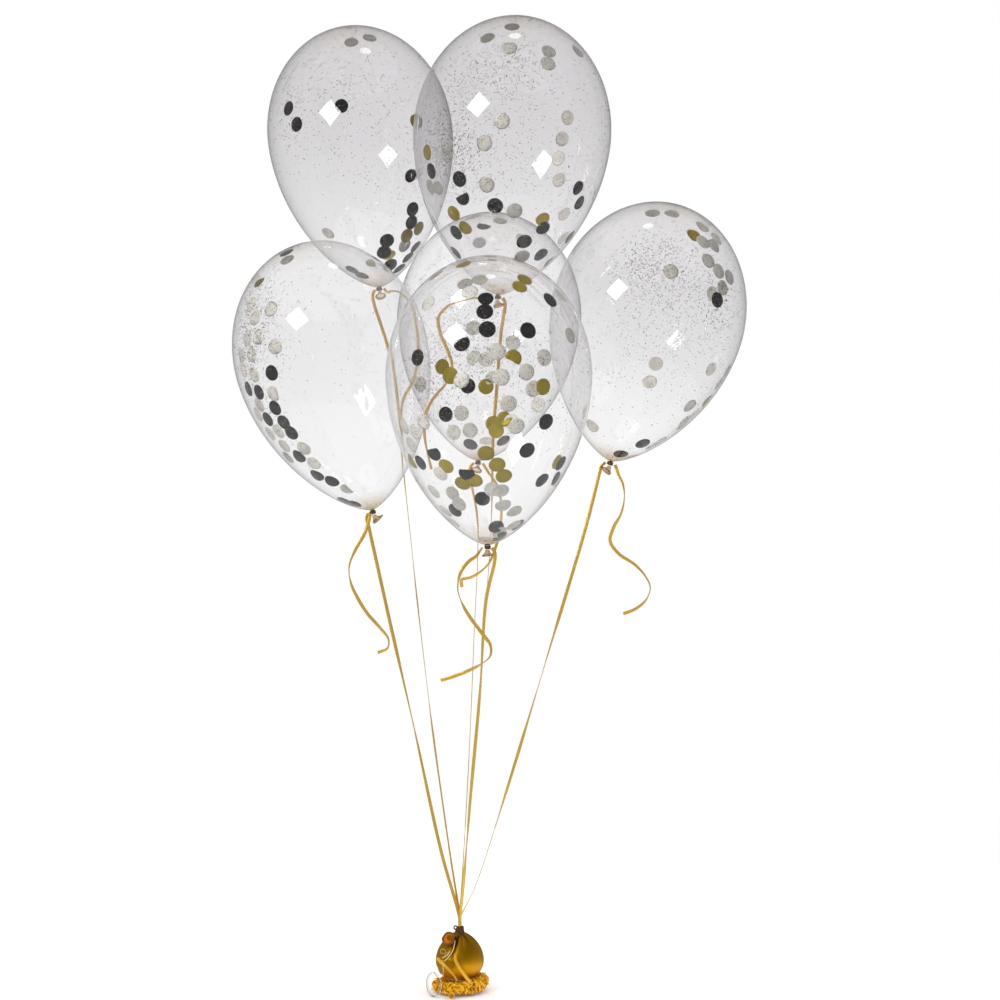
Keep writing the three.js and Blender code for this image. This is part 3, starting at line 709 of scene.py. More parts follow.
def confetti(name, rng, spokes=16):
    """Paper discs that cling to the inside of a balloon. Each is a centre and three rings of points, curled a
    little more than the wall, and a few are folded over a chord. Returns points, faces, values and the shade of
    each face."""
    shades = [CONFETTI[name][shade] for shade in ("black", "silver", "gold")]
    bearing, height = np.array([place for shade in shades for place in shade], float).T
    shade = np.repeat(np.arange(3), [len(places) for places in shades])
    bearing, height = spread_apart(name, bearing, height, 0.5 * sizes().confetti_diameter)
    count = len(bearing)
    radius = sizes().confetti_diameter / 2
    rings = np.array([0.4, 0.75, 1.0])
    angle = np.arange(spokes) * (2 * np.pi / spokes)
    flat_x = np.concatenate([[0], np.outer(rings, np.cos(angle)).ravel()]) * radius
    flat_y = np.concatenate([[0], np.outer(rings, np.sin(angle)).ravel()]) * radius
    spin = rng.uniform(0, 2 * np.pi, count)[:, None]
    x = flat_x * np.cos(spin) - flat_y * np.sin(spin)
    y = flat_x * np.sin(spin) + flat_y * np.cos(spin)
    crease = np.where(rng.random(count) < 0.06, rng.uniform(0.35, 0.7, count), 2.0)[:, None] * radius
    beyond = np.clip(flat_x - crease, 0, None)
    fold = np.radians(rng.uniform(110, 165, count))[:, None]
    back = beyond * (1 - np.cos(fold))
    lift = beyond * np.sin(fold)
    x = x - back * np.cos(spin)
    y = y - back * np.sin(spin)
    curl = rng.uniform(1.05, 1.9, count)[:, None]
    wave = rng.normal(size=count)[:, None] * 0.35 * MM * np.sin(2 * np.arctan2(flat_y, flat_x) + spin)
    lift = lift + curl * (x ** 2 + y ** 2) / (2 * sizes().balloon_radius)
    lift = lift + (wave + 0.35 * MM) * (np.hypot(flat_x, flat_y) / radius) ** 2
    depth = sizes().latex_wall + 0.35 * MM + 1.3 * MM * rng.random(count)
    place, inward, round_way, rise = on_wall(name, bearing, height, depth)
    points = (place[:, None] + x[:, :, None] * round_way[:, None] + y[:, :, None] * rise[:, None]
              + lift[:, :, None] * inward[:, None])
    per_disc = len(flat_x)
    around = np.arange(spokes)
    after = (around + 1) % spokes
    fan = np.stack([np.zeros(spokes, int), 1 + around, 1 + after], -1).tolist()
    bands = (grid_faces(len(rings), spokes) + 1).tolist()
    one = fan + bands
    faces = [[corner + i * per_disc for corner in face] for i in range(count) for face in one]
    tone = np.repeat(rng.random(count), per_disc)
    return points.reshape(-1, 3), faces, dict(tone=tone), np.repeat(shade, len(one))


def glitter(name, rng):
    """Grains that cling to the inside of a balloon: each is two pyramids base to base, turned at random, so that
    it shows as a dot from every side."""
    bearing, height = scattered(GLITTER_DRIFTS[name], rng)
    count = len(bearing)
    place, inward, round_way, rise = on_wall(name, bearing, height, np.full(count, sizes().latex_wall + 0.9 * MM))
    first = rng.normal(size=(count, 3))
    first /= np.linalg.norm(first, axis=1, keepdims=True)
    second = np.cross(first, rng.normal(size=(count, 3)))
    second /= np.linalg.norm(second, axis=1, keepdims=True)
    third = np.cross(first, second)
    size = sizes().glitter_size * rng.uniform(0.5, 1.3, count)[:, None, None] / 2
    corners = np.stack([first, second, third, -first, -second, -third], 1) * size
    pattern = np.array([(0, 1, 2), (1, 3, 2), (3, 4, 2), (4, 0, 2), (1, 0, 5), (3, 1, 5), (4, 3, 5), (0, 4, 5)])
    faces = (pattern[None] + 6 * np.arange(count)[:, None, None]).reshape(-1, 3)
    return (place[:, None] + corners).reshape(-1, 3), faces, dict(tone=np.repeat(rng.random(count), 6))


# Weight, knot and nest


def weight_heights():
    """Heights of the weight's underside, its widest place, the foot and the top of its neck, and of the knot."""
    s = sizes()
    middle = s.weight_seat + s.weight_crown
    share = (1 - (s.weight_neck / s.weight_radius) ** (1 / WEIGHT_POINT)) ** (1 / s.taper_fullness)
    neck_foot = middle + s.weight_shoulder * share
    return dict(middle=middle, share=share, neck_foot=neck_foot, knot_top=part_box("weight_knot")[1][2])


def weight_shell(sides=240, steps=60):
    """The small balloon: half an ellipse below its widest place, and above it a shoulder that shrinks to the neck
    and is gathered into folds there. The folds are narrow grooves round the axis that deepen towards the neck, and
    one long pleat runs down the front."""
    s = sizes()
    h = weight_heights()
    low = np.radians(np.linspace(90, 0, steps // 2))[:-1]
    fall = np.sin(np.linspace(math.asin(h["share"]), 0, steps))
    shoulder = np.stack([s.weight_radius * (1 - fall ** s.taper_fullness) ** WEIGHT_POINT,
                         h["middle"] + s.weight_shoulder * fall], -1)
    under = np.stack([s.weight_radius * np.cos(low[::-1]), h["middle"] - s.weight_crown * np.sin(low[::-1])], -1)
    neck = [[0, h["neck_foot"] + 4 * MM], [s.weight_neck, h["neck_foot"] + 4 * MM]]
    outline = np.concatenate([neck, shoulder, under])
    outline[-1, 0] = 0
    points, faces, row = lathe(outline, sides)
    angle = np.arctan2(points[:, 1], points[:, 0])
    rise = np.clip((points[:, 2] - h["middle"]) / (h["neck_foot"] - h["middle"]), 0, 1)
    gathered = np.clip((rise - 0.3) / 0.6, 0, 1) ** 2
    grooves = sum(depth * np.exp(-(np.sin(0.5 * folds * angle + phase) / 0.3) ** 2)
                  for folds, phase, depth in ((7, 0.4, 0.8), (11, 1.3, 0.55), (5, 2.2, 0.5)))
    pleat = np.exp(-((angle + 1.70 + 0.35 * (1 - rise)) / 0.09) ** 2) * np.clip((rise - 0.15) / 0.5, 0, 1)
    fold = np.clip(gathered * grooves + 1.2 * pleat, 0, 1.5)
    points[:, :2] *= (1 - 0.17 * fold)[:, None]
    # The value named fold also darkens the gold there, as painted shade
    return points, faces, dict(fold=np.clip(fold, 0, 1))


def weight_mouth(sides=40):
    """The open neck of the small balloon: a tube that bends from its shoulder, and a flared mouth with a rolled
    rim. The mouth is an outline turned about the way it faces: up the inside of the funnel, round the rim and
    down the outside. Returns the tube, then the mouth with the value named inside."""
    s = sizes()
    h = weight_heights()
    facing = MOUTH_FACING / np.linalg.norm(MOUTH_FACING)
    foot = (0, -4 * MM, h["neck_foot"] - 5 * MM)
    bend = (-10 * MM, -14 * MM, h["neck_foot"] - 3 * MM)
    path = spline([foot, bend, MOUTH_PLACE - 4.5 * MM * facing], 12)
    share = np.linspace(0, 1, len(path))
    pleats = 4 * MM * (1 + 0.1 * np.sin(share * 9)) * (1 + 0.12 * share)
    tube_points, tube_faces, _ = tube(path, pleats, 28)
    rim = s.mouth_radius
    roll = s.mouth_roll
    up_share = np.linspace(0.04, 1, 9)
    funnel = np.stack([(rim - roll) * up_share ** 0.6, -7.5 * MM * (1 - up_share ** 1.2)], -1)
    around = np.radians(np.linspace(180, -70, 12))
    rolled = np.stack([rim + roll * np.cos(around), roll * np.sin(around)], -1)
    down = np.linspace(1, 0.05, 7)
    outside = np.stack([(rim - 0.4 * roll) * down ** 0.7 + 0.2 * MM, -roll - 7.2 * MM * (1 - down)], -1)
    outline = np.concatenate([[[0, -7.5 * MM]], funnel, rolled, outside, [[0, -9.2 * MM]]])
    points, faces, row = lathe(outline, sides)
    angle = np.arctan2(points[:, 1], points[:, 0])
    points[:, :2] *= (1 + 0.05 * np.sin(2 * angle + 0.6) + 0.025 * np.sin(5 * angle))[:, None]
    points = points @ turn_onto(facing).T + MOUTH_PLACE
    inside = np.clip((10.5 - row) / 2, 0, 1)
    # The bent tube's fold of 0.2 darkens its gold a little, as painted shade
    return (tube_points, tube_faces, dict(inside=0.0, fold=0.2)), (points, faces, dict(inside=inside, fold=0.0))


def knot_winding(sides=10):
    """The ribbons' knot: turns of ribbon wound round the weight's neck, a crossing turn over them, a small loop
    that stands out at the left, and crumpled ends over the gathers. Each is a round strand along a curve."""
    h = weight_heights()
    top = h["knot_top"]
    share = np.linspace(0, 1, 160)
    angle = 2 * np.pi * 3.6 * share + 0.7
    reach = 4.7 * MM + 0.5 * MM * np.sin(2.3 * angle) - 1.2 * MM * share ** 4
    path = np.stack([reach * np.cos(angle), reach * np.sin(angle),
                     top - 5.2 * MM + 4.2 * MM * share], -1)
    parts = [tube(path, np.full(len(path), 1.15 * MM), sides)]
    over = np.linspace(0, 2 * np.pi, 60)
    cross = np.stack([4.9 * MM * np.cos(over), 4.9 * MM * np.sin(over) - 0.3 * MM,
                      top - 3.2 * MM + 2.0 * MM * np.sin(over + 0.8)], -1)
    parts.append(tube(cross, np.full(len(cross), 1.25 * MM), sides))
    cap_share = np.linspace(0, 1, 12)
    cap = np.concatenate([[[0, top]], np.stack([4.6 * MM * np.sin(cap_share[1:] * np.pi / 2),
                                                top - 2.6 * MM * (1 - np.cos(cap_share[1:] * np.pi / 2))], -1),
                          [[0, top - 4 * MM]]])
    cap_points, cap_faces, cap_row = lathe(cap, 36)
    parts.append((cap_points, cap_faces, dict(across=np.cos(cap_row), along=cap_points[:, 0])))
    loop_turn = np.linspace(0.3, 2 * np.pi - 0.3, 50)
    loop = np.stack([-6.2 * MM + 2.6 * MM * np.cos(loop_turn), -3.0 * MM + 0.8 * MM * np.sin(loop_turn),
                     top - 1.8 * MM + 2.3 * MM * np.sin(loop_turn)], -1)
    parts.append(tube(loop, np.full(len(loop), 1.05 * MM), sides))
    for x, lean, drop in KNOT_STRANDS:
        start = top - 3 * MM
        path = spline([(x * MM, -4.6 * MM, start), on_weight((x + lean * 0.6 + 0.6) * MM, start - 0.62 * drop * MM),
                       on_weight((x + lean) * MM, start - drop * MM, 0.2 * MM)], 9)
        parts.append(tube(path, 1.5 * MM * (1 - 0.4 * np.linspace(0, 1, len(path))), sides))
    return joined(parts)


def curl(middle, axis, radius, rise, turns, steps, start, opening=0.0):
    """A helix of ribbon about an axis: its points and the direction outwards at each, for its facing. Opening
    widens it from one end to the other."""
    axis = np.asarray(axis, float) / np.linalg.norm(axis)
    side = np.cross(axis, (0.31, 0.17, 0.93))
    side /= np.linalg.norm(side)
    up = np.cross(axis, side)
    share = np.linspace(0, 1, steps)
    angle = start + 2 * np.pi * turns * share
    out = side * np.cos(angle)[:, None] + up * np.sin(angle)[:, None]
    reach = radius * (1 + opening * share)
    return middle + out * reach[:, None] + axis * ((share - 0.5) * rise)[:, None], out


def on_weight(x, z, lift=0.6 * MM):
    """A point on the front of the small balloon's shell, lifted a little off it, for a place across and a
    height."""
    s = sizes()
    middle = s.weight_seat + s.weight_crown
    rise = (z - middle) / (s.weight_shoulder if z > middle else s.weight_crown)
    full = (1 - rise ** s.taper_fullness) ** WEIGHT_POINT if rise > 0 else math.sqrt(1 - rise * rise)
    reach = s.weight_radius * full + lift
    return np.array([x, -math.sqrt(max(reach * reach - x * x, 0)), z])


def shreds_on_weight():
    """Thin shreds of ribbon that climb the left of the small balloon, and two tiny curls that cling there."""
    parts = []
    for route in SHREDS:
        path = spline([on_weight(x * MM, z * MM) for x, z in route], 10)
        parts.append(strip(path, 0, 1.1 * MM, 0.25 * MM, across=3))
    for x, z, reach in SHRED_CURLS:
        turn = np.linspace(0, 2 * np.pi * 1.4, 40)
        middle = on_weight(x * MM, z * MM, 2.2 * MM)
        ring = np.stack([np.cos(turn), 0.35 * np.cos(turn + 0.8) - 0.03 * turn, np.sin(turn)], -1)
        facing = np.stack([np.cos(turn), np.zeros_like(turn), np.sin(turn)], -1)
        parts.append(strip(middle + ring * reach * MM, 0, 1.6 * MM, 0.25 * MM, across=3, facing=facing))
    return joined(parts)


def kept_in_nest(path):
    """A path of the nest held inside the nest's ring: no wider than its radius, no lower than the floor and no
    higher than its top, which slopes up to the right. Each limit is met softly."""
    s = sizes()
    margin = 2.4 * MM
    reach = np.hypot(path[:, 0], path[:, 1])
    limit = s.nest_radius - margin
    held = limit * np.tanh((reach / limit) ** 3) ** (1 / 3)
    path = path * np.stack([held / reach, held / reach, np.ones_like(reach)], -1)
    low, high = margin, s.nest_height * (0.92 + 0.26 * np.clip(path[:, 0] / limit, -1, 1))
    middle, half = (low + high) / 2, (high - low) / 2
    path[:, 2] = middle + half * np.tanh((path[:, 2] * (0.92 + 0.26 * path[:, 0] / limit) - middle) / half * 1.1)
    return path


def nest_of_curls(rng):
    """A heap of curled and crimped strips round the weight. Curls are helices that lie along the ring at random
    tilts; shreds are narrow strips that run outwards in sharp little waves."""
    s = sizes()
    parts = []
    for i in range(s.nest_curls):
        bearing = 2 * np.pi * (i * 0.618 + 0.02 * rng.normal())
        out = np.array([math.cos(bearing), math.sin(bearing), 0])
        ring = np.array([-math.sin(bearing), math.cos(bearing), 0])
        reach = rng.uniform(27, 41) * MM
        middle = out * reach + (0, 0, rng.uniform(6, 18) * MM)
        axis = ring + out * rng.normal() * 0.7 + np.array([0, 0, rng.normal() * 0.45])
        path, facing = curl(middle, axis, rng.uniform(3.0, 7.5) * MM, rng.uniform(8, 26) * MM,
                            rng.uniform(1.3, 2.8), 40, rng.uniform(0, 6.28), rng.uniform(-0.4, 0.4))
        parts.append(strip(kept_in_nest(path), rng.uniform(-20, 20), s.ribbon_width * rng.uniform(0.3, 0.75),
                           0.25 * MM, across=3, facing=facing))
    for i in range(s.nest_shreds):
        bearing = 2 * np.pi * (i * 0.618 + 0.31)
        out = np.array([math.cos(bearing), math.sin(bearing), 0])
        ring = np.array([-math.sin(bearing), math.cos(bearing), 0])
        share = np.linspace(0, 1, 30)
        start, end = rng.uniform(22, 34) * MM, rng.uniform(41, 47) * MM
        height = rng.uniform(10, 24) * MM * (1 - share) + rng.uniform(3, 17) * MM * share
        wave = np.abs((share * rng.uniform(3.5, 6) + rng.random()) % 1 - 0.5) * 7 * MM
        aside = (rng.normal() * 9 * MM) * share
        path = out * (start + (end - start) * share)[:, None] + ring * aside[:, None]
        path[:, 2] = height + wave
        parts.append(strip(kept_in_nest(path), rng.uniform(-70, 70), rng.uniform(1.6, 3.4) * MM, 0.25 * MM, across=3,
                           facing=(0, 0, 1)))
    path, facing = curl((-11 * MM, -50 * MM, 6.5 * MM), (0.1, 1, 0.12), 3.4 * MM, 13 * MM, 2.6, 60, 1.0, 0.5)
    parts.append(strip(path, 0, 4 * MM, 0.25 * MM, across=3, facing=facing))
    return joined(parts)


def clear_loop_band():
    """A loop of clear ribbon that stands on edge beside the nest: a tall oval, narrower at its top, whose width
    lies along its own axis and whose two ends overlap at the floor."""
    s = sizes()
    low, high = (np.array(corner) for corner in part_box("clear_loop"))
    middle = (low + high) / 2
    out = np.array([middle[0], middle[1], 0]) / np.hypot(middle[0], middle[1])
    ring = np.cross((0, 0, 1), out)
    tall = (high[2] - low[2]) / 2 - 0.4 * MM
    wide = s.loop_radius - 0.4 * MM
    angle = np.linspace(-1.75, 2 * np.pi - 1.35, 110)
    narrow = 1 - 0.22 * np.clip(np.sin(angle), 0, 1) ** 2
    face = ring * (wide * narrow * np.cos(angle))[:, None] + np.outer(tall * np.sin(angle) * 0.985, (0, 0, 1))
    drift = out * (0.5 * MM * np.linspace(-1, 1, 110))[:, None]
    path = middle + face + drift
    return strip(path, 0, s.ribbon_width * 0.9, 0.25 * MM, camber=0.04, facing=face)


# Materials


def add(tree, kind, settings=None, **inputs):
    """A new node. Its settings are its own properties, and each input is a value or a socket to link."""
    node = tree.nodes.new(kind)
    for label, value in (settings or {}).items():
        setattr(node, label, value)
    for label, value in inputs.items():
        label = label.replace("_", " ")
        socket = node.inputs[int(label[1:])] if label[0] == "i" and label[1:].isdigit() else node.inputs[label]
        if isinstance(value, bpy.types.NodeSocket):
            tree.links.new(value, socket)
        else:
            socket.default_value = value
    return node


def colour4(colour):
    """A colour with full alpha."""
    return (*colour, 1.0)


def math_node(tree, operation, first, second=0.0, clamp=False):
    """The output of one sum."""
    return add(tree, "ShaderNodeMath", dict(operation=operation, use_clamp=clamp), i0=first, i1=second).outputs[0]


def mix_colour(tree, factor, first, second, blend="MIX"):
    """The output of a mix of two colours."""
    node = add(tree, "ShaderNodeMix", dict(data_type="RGBA", blend_type=blend))
    for place, value in ((0, factor), (6, first), (7, second)):
        if isinstance(value, bpy.types.NodeSocket):
            tree.links.new(value, node.inputs[place])
        else:
            node.inputs[place].default_value = value
    return node.outputs[2]


def attribute(tree, label):
    """The factor of one of the piece's own attributes."""
    return add(tree, "ShaderNodeAttribute", dict(attribute_name=label)).outputs["Fac"]


def new_material(name):
    """An empty material with its output and a Principled shader."""
    material = bpy.data.materials.new(name)
    material.use_nodes = True
    tree = material.node_tree
    tree.nodes.clear()
    output = tree.nodes.new("ShaderNodeOutputMaterial")
    shader = tree.nodes.new("ShaderNodeBsdfPrincipled")
    tree.links.new(shader.outputs[0], output.inputs["Surface"])
    return material, tree, shader


def kept(name, build):
    """The material or node group of that name, built the first time."""
    return bpy.data.materials.get(name) or bpy.data.node_groups.get(name) or build(name)


def new_group(name, inputs, outputs):
    """A shader node group with float inputs and outputs given as pairs of name and socket type."""
    group = bpy.data.node_groups.new(name, "ShaderNodeTree")
    for label, kind, value in inputs:
        socket = group.interface.new_socket(label, in_out="INPUT", socket_type=kind)
        socket.default_value = value
    for label, kind in outputs:
        group.interface.new_socket(label, in_out="OUTPUT", socket_type=kind)
    return group, group.nodes.new("NodeGroupInput"), group.nodes.new("NodeGroupOutput")


def crimp_group(name):
    """Fine ribs along a ribbon, and soft streaks that vary from rib to rib. Reads how far across and along the
    ribbon a point is, and gives a height and a streak from 0 to 1."""
    group, given, result = new_group(
        name, [("Ribs", "NodeSocketFloat", 6.0), ("Streak length", "NodeSocketFloat", 25.0)],
        [("Height", "NodeSocketFloat"), ("Streak", "NodeSocketFloat")])
    across = attribute(group, "across")
    along = attribute(group, "along")
    phase = math_node(group, "MULTIPLY", math_node(group, "MULTIPLY", across, given.outputs["Ribs"]), math.pi)
    wave = math_node(group, "SINE", phase)
    height = math_node(group, "ADD", math_node(group, "MULTIPLY", wave, 0.5), 0.5)
    where = add(group, "ShaderNodeCombineXYZ", X=math_node(group, "MULTIPLY", across, 1.6),
                Y=math_node(group, "MULTIPLY", along, given.outputs["Streak length"]), Z=0.0)
    noise = add(group, "ShaderNodeTexNoise", Vector=where.outputs[0], Scale=1.0, Detail=3.0, Roughness=0.6)
    group.links.new(height, result.inputs["Height"])
    group.links.new(noise.outputs["Fac"], result.inputs["Streak"])
    return group


def grain_group(name):
    """Paper or powder grain: fine noise over a broad cloud, both read in object space. Gives a fine and a broad
    value from 0 to 1."""
    group, given, result = new_group(
        name, [("Fine scale", "NodeSocketFloat", 900.0), ("Broad scale", "NodeSocketFloat", 40.0)],
        [("Fine", "NodeSocketFloat"), ("Broad", "NodeSocketFloat")])
    place = group.nodes.new("ShaderNodeTexCoord").outputs["Object"]
    for label, detail in (("Fine", 2.0), ("Broad", 3.0)):
        noise = add(group, "ShaderNodeTexNoise", Vector=place, Scale=given.outputs[f"{label} scale"], Detail=detail)
        group.links.new(noise.outputs["Fac"], result.inputs[label])
    return group


def use_group(tree, group, **inputs):
    """A node that shows a group."""
    return add(tree, "ShaderNodeGroup", dict(node_tree=group), **inputs)


def clear_latex(name):
    """Stretched clear latex: thin glass with a faint tint that deepens where the skin is thick, at the crown's
    nipple and at the tapering end, and is brown on the rolled rim. Powder clouds it a little, and painted shade
    greys the upper skin."""
    material, tree, shader = new_material(name)
    c = colours()
    end = attribute(tree, "end")
    rim = attribute(tree, "rim")
    grain = use_group(tree, kept("fine_grain", grain_group), Fine_scale=420.0, Broad_scale=9.0)
    cloud = add(tree, "ShaderNodeMapRange", Value=grain.outputs["Broad"], i1=0.35, i2=0.7, i3=0.0, i4=1.0)
    clean = mix_colour(tree, cloud.outputs[0], colour4(c.latex), colour4([v * 0.985 for v in c.latex]))
    # Painted shade: the value named shade mixes in the grey tint of the upper skin
    painted_shade = mix_colour(tree, attribute(tree, "shade"), clean, colour4(c.latex_painted_shade))
    thick = mix_colour(tree, end, painted_shade, colour4(c.latex_tip))
    tint = mix_colour(tree, rim, thick, (0.42, 0.25, 0.12, 1))
    tree.links.new(tint, shader.inputs["Base Color"])
    shader.inputs["Roughness"].default_value = 0.0
    shader.inputs["IOR"].default_value = 1.5
    shader.inputs["Transmission Weight"].default_value = 1.0
    return material


def paper(name, colour, metallic, roughness, fleck):
    """Tissue or foil paper: its grain shades and roughens it, each disc has its own tone, and specks of glitter
    stick to it."""
    material, tree, shader = new_material(name)
    grain = use_group(tree, kept("fine_grain", grain_group), Fine_scale=1300.0, Broad_scale=160.0)
    tone = attribute(tree, "tone")
    shade = math_node(tree, "ADD", math_node(tree, "MULTIPLY", tone, 0.45),
                      math_node(tree, "MULTIPLY", grain.outputs["Broad"], 0.55))
    base = mix_colour(tree, shade, colour4([v * 0.72 for v in colour]), colour4([min(1, v * 1.22) for v in colour]))
    place = tree.nodes.new("ShaderNodeTexCoord").outputs["Object"]
    specks = add(tree, "ShaderNodeTexVoronoi", Vector=place, Scale=430.0, Randomness=1.0)
    cloud = add(tree, "ShaderNodeTexNoise", Vector=place, Scale=60.0, Detail=1.0)
    near = math_node(tree, "LESS_THAN", specks.outputs["Distance"], 0.29)
    some = math_node(tree, "GREATER_THAN", cloud.outputs["Fac"], 0.47)
    stuck = math_node(tree, "MULTIPLY", math_node(tree, "MULTIPLY", near, some), 0.85)
    base = mix_colour(tree, stuck, base, colour4(fleck))
    tree.links.new(base, shader.inputs["Base Color"])
    shader.inputs["Metallic"].default_value = metallic
    shader.inputs["Specular IOR Level"].default_value = 0.03
    rough = add(tree, "ShaderNodeMapRange", Value=grain.outputs["Fine"], i1=0.0, i2=1.0,
                i3=roughness - 0.1, i4=roughness + 0.1)
    tree.links.new(rough.outputs[0], shader.inputs["Roughness"])
    bump = add(tree, "ShaderNodeBump", Strength=0.25, Distance=0.0004, Height=grain.outputs["Fine"])
    tree.links.new(bump.outputs[0], shader.inputs["Normal"])
    return material


def glitter_flake(name):
    """Metal-coated film, each fleck with its own tone from nearly black to pale silver."""
    material, tree, shader = new_material(name)
    tone = attribute(tree, "tone")
    ramp = tree.nodes.new("ShaderNodeValToRGB")
    tree.links.new(tone, ramp.inputs[0])
    ramp.color_ramp.elements[0].color = (0.03, 0.028, 0.026, 1)
    ramp.color_ramp.elements[1].position = 0.95
    ramp.color_ramp.elements[1].color = (0.34, 0.29, 0.21, 1)
    tree.links.new(ramp.outputs[0], shader.inputs["Base Color"])
    shader.inputs["Metallic"].default_value = 0.3
    shader.inputs["Roughness"].default_value = 0.4
    return material


def ribbon_film(name, colour, metallic, roughness, ribs=6.0):
    """Metallic curling ribbon: fine ribs along it, streaks in its colour, and roughness that follows them."""
    material, tree, shader = new_material(name)
    crimp = use_group(tree, kept("crimped_ribbon", crimp_group), Ribs=ribs, Streak_length=30.0)
    streak = crimp.outputs["Streak"]
    base = mix_colour(tree, streak, colour4([v * 0.7 for v in colour]), colour4([min(1, v * 1.25) for v in colour]))
    tree.links.new(base, shader.inputs["Base Color"])
    shader.inputs["Metallic"].default_value = metallic
    rough = add(tree, "ShaderNodeMapRange", Value=streak, i1=0.2, i2=0.8, i3=roughness - 0.08, i4=roughness + 0.1)
    tree.links.new(rough.outputs[0], shader.inputs["Roughness"])
    bump = add(tree, "ShaderNodeBump", Strength=0.18, Distance=0.0002, Height=crimp.outputs["Height"])
    tree.links.new(bump.outputs[0], shader.inputs["Normal"])
    return material


def gold_ribbon(name):
    return ribbon_film(name, colours().ribbon_gold, 0.55, 0.34)


# Painted shade: the gold ribbon darkened for the neck bindings and the knot
def gold_ribbon_in_painted_shade(name):
    return ribbon_film(name, colours().old_gold, 0.35, 0.5)


def bright_gold_ribbon(name):
    return ribbon_film(name, colours().bright_gold, 0.0, 0.24)


def loose_gold_ribbon(name):
    return ribbon_film(name, [v * f for v, f in zip(colours().ribbon_gold, (0.95, 0.85, 0.4))], 0.35, 0.3)


def pale_shred(name):
    return ribbon_film(name, (1.0, 0.72, 0.33), 0.0, 0.25)


def chrome_latex(name):
    """Metallic gold latex: a soft mirror whose gold is darkened by painted shade in the gathered folds, and clouds
    a little where the skin is stretched, with a faint orange-peel surface."""
    material, tree, shader = new_material(name)
    gold = colours().chrome_gold
    grain = use_group(tree, kept("fine_grain", grain_group), Fine_scale=700.0, Broad_scale=55.0)
    fold = attribute(tree, "fold")
    cloud = mix_colour(tree, grain.outputs["Broad"], colour4([v * 0.8 for v in gold]), colour4(gold))
    # Painted shade: the value named fold darkens the gold in the folds and the pleat
    base = mix_colour(tree, fold, cloud, colour4([v * 0.28 for v in gold]))
    tree.links.new(base, shader.inputs["Base Color"])
    shader.inputs["Metallic"].default_value = 0.9
    rough = add(tree, "ShaderNodeMapRange", Value=grain.outputs["Broad"], i1=0.3, i2=0.7, i3=0.44, i4=0.54)
    tree.links.new(rough.outputs[0], shader.inputs["Roughness"])
    bump = add(tree, "ShaderNodeBump", Strength=0.12, Distance=0.0003, Height=grain.outputs["Fine"])
    tree.links.new(bump.outputs[0], shader.inputs["Normal"])
    return material


def mouth_latex(name):
    """The bare latex of the open mouth: amber where light comes through the funnel, and brown on the thick rolled
    rim."""
    material, tree, shader = new_material(name)
    orange = colours().mouth_orange
    inside = attribute(tree, "inside")
    grain = use_group(tree, kept("fine_grain", grain_group), Fine_scale=800.0, Broad_scale=180.0)
    glow = mix_colour(tree, grain.outputs["Broad"], colour4([v * 0.75 for v in orange]), colour4(orange))
    base = mix_colour(tree, inside, (0.13, 0.055, 0.004, 1), glow)
    tree.links.new(base, shader.inputs["Base Color"])
    shader.inputs["Roughness"].default_value = 0.22
    shader.inputs["Subsurface Weight"].default_value = 0.25
    shader.inputs["Subsurface Radius"].default_value = (0.004, 0.0015, 0.0005)
    shader.inputs["Subsurface Scale"].default_value = 1.0
    bump = add(tree, "ShaderNodeBump", Strength=0.2, Distance=0.0003, Height=grain.outputs["Fine"])
    tree.links.new(bump.outputs[0], shader.inputs["Normal"])
    return material


def clear_film(name):
    """Clear curling ribbon: thin glass with the same fine ribs, and a violet-grey tint."""
    material, tree, shader = new_material(name)
    crimp = use_group(tree, kept("crimped_ribbon", crimp_group), Ribs=4.0, Streak_length=40.0)
    base = mix_colour(tree, crimp.outputs["Streak"], (0.74, 0.70, 0.73, 1), (0.95, 0.93, 0.95, 1))
    tree.links.new(base, shader.inputs["Base Color"])
    shader.inputs["Roughness"].default_value = 0.05
    shader.inputs["IOR"].default_value = 1.5
    shader.inputs["Transmission Weight"].default_value = 1.0
    return material


# Stage


def camera_and_ceiling():
    """The camera at the photograph's place, and a small light overhead that glints on each crown."""
    scene = bpy.context.scene
    stage = scene.bouquet_stage
    camera_data = bpy.data.cameras.new("camera")
    camera = bpy.data.objects.new("camera", camera_data)
    camera.location = stage.camera_place
    camera.rotation_euler = (math.pi / 2, 0, 0)
    camera_data.lens = camera_data.sensor_width * stage.focal_pixels / 1000
    scene.collection.objects.link(camera)
    scene.camera = camera
    light_data = bpy.data.lights.new("ceiling", "AREA")
    light_data.shape = "DISK"
    light_data.size = stage.ceiling_side
    light_data.energy = stage.ceiling_power
    light = bpy.data.objects.new("ceiling", light_data)
    light.location = stage.ceiling_place
    light.visible_camera = False
    scene.collection.objects.link(light)


def softbox_cloth(name):
    """Lit cloth whose glow fades over the last part before its rim."""
    material = bpy.data.materials.new(name)
    material.use_nodes = True
    tree = material.node_tree
    tree.nodes.clear()
    fade = add(tree, "ShaderNodeMapRange", dict(interpolation_type="SMOOTHSTEP"), Value=attribute(tree, "glow"),
               i1=0.0, i2=0.22, i3=0.0, i4=bpy.context.scene.bouquet_stage.softbox_glow)
    light = add(tree, "ShaderNodeEmission", Color=(1, 1, 1, 1), Strength=fade.outputs[0])
    output = tree.nodes.new("ShaderNodeOutputMaterial")
    tree.links.new(light.outputs[0], output.inputs["Surface"])
    return material


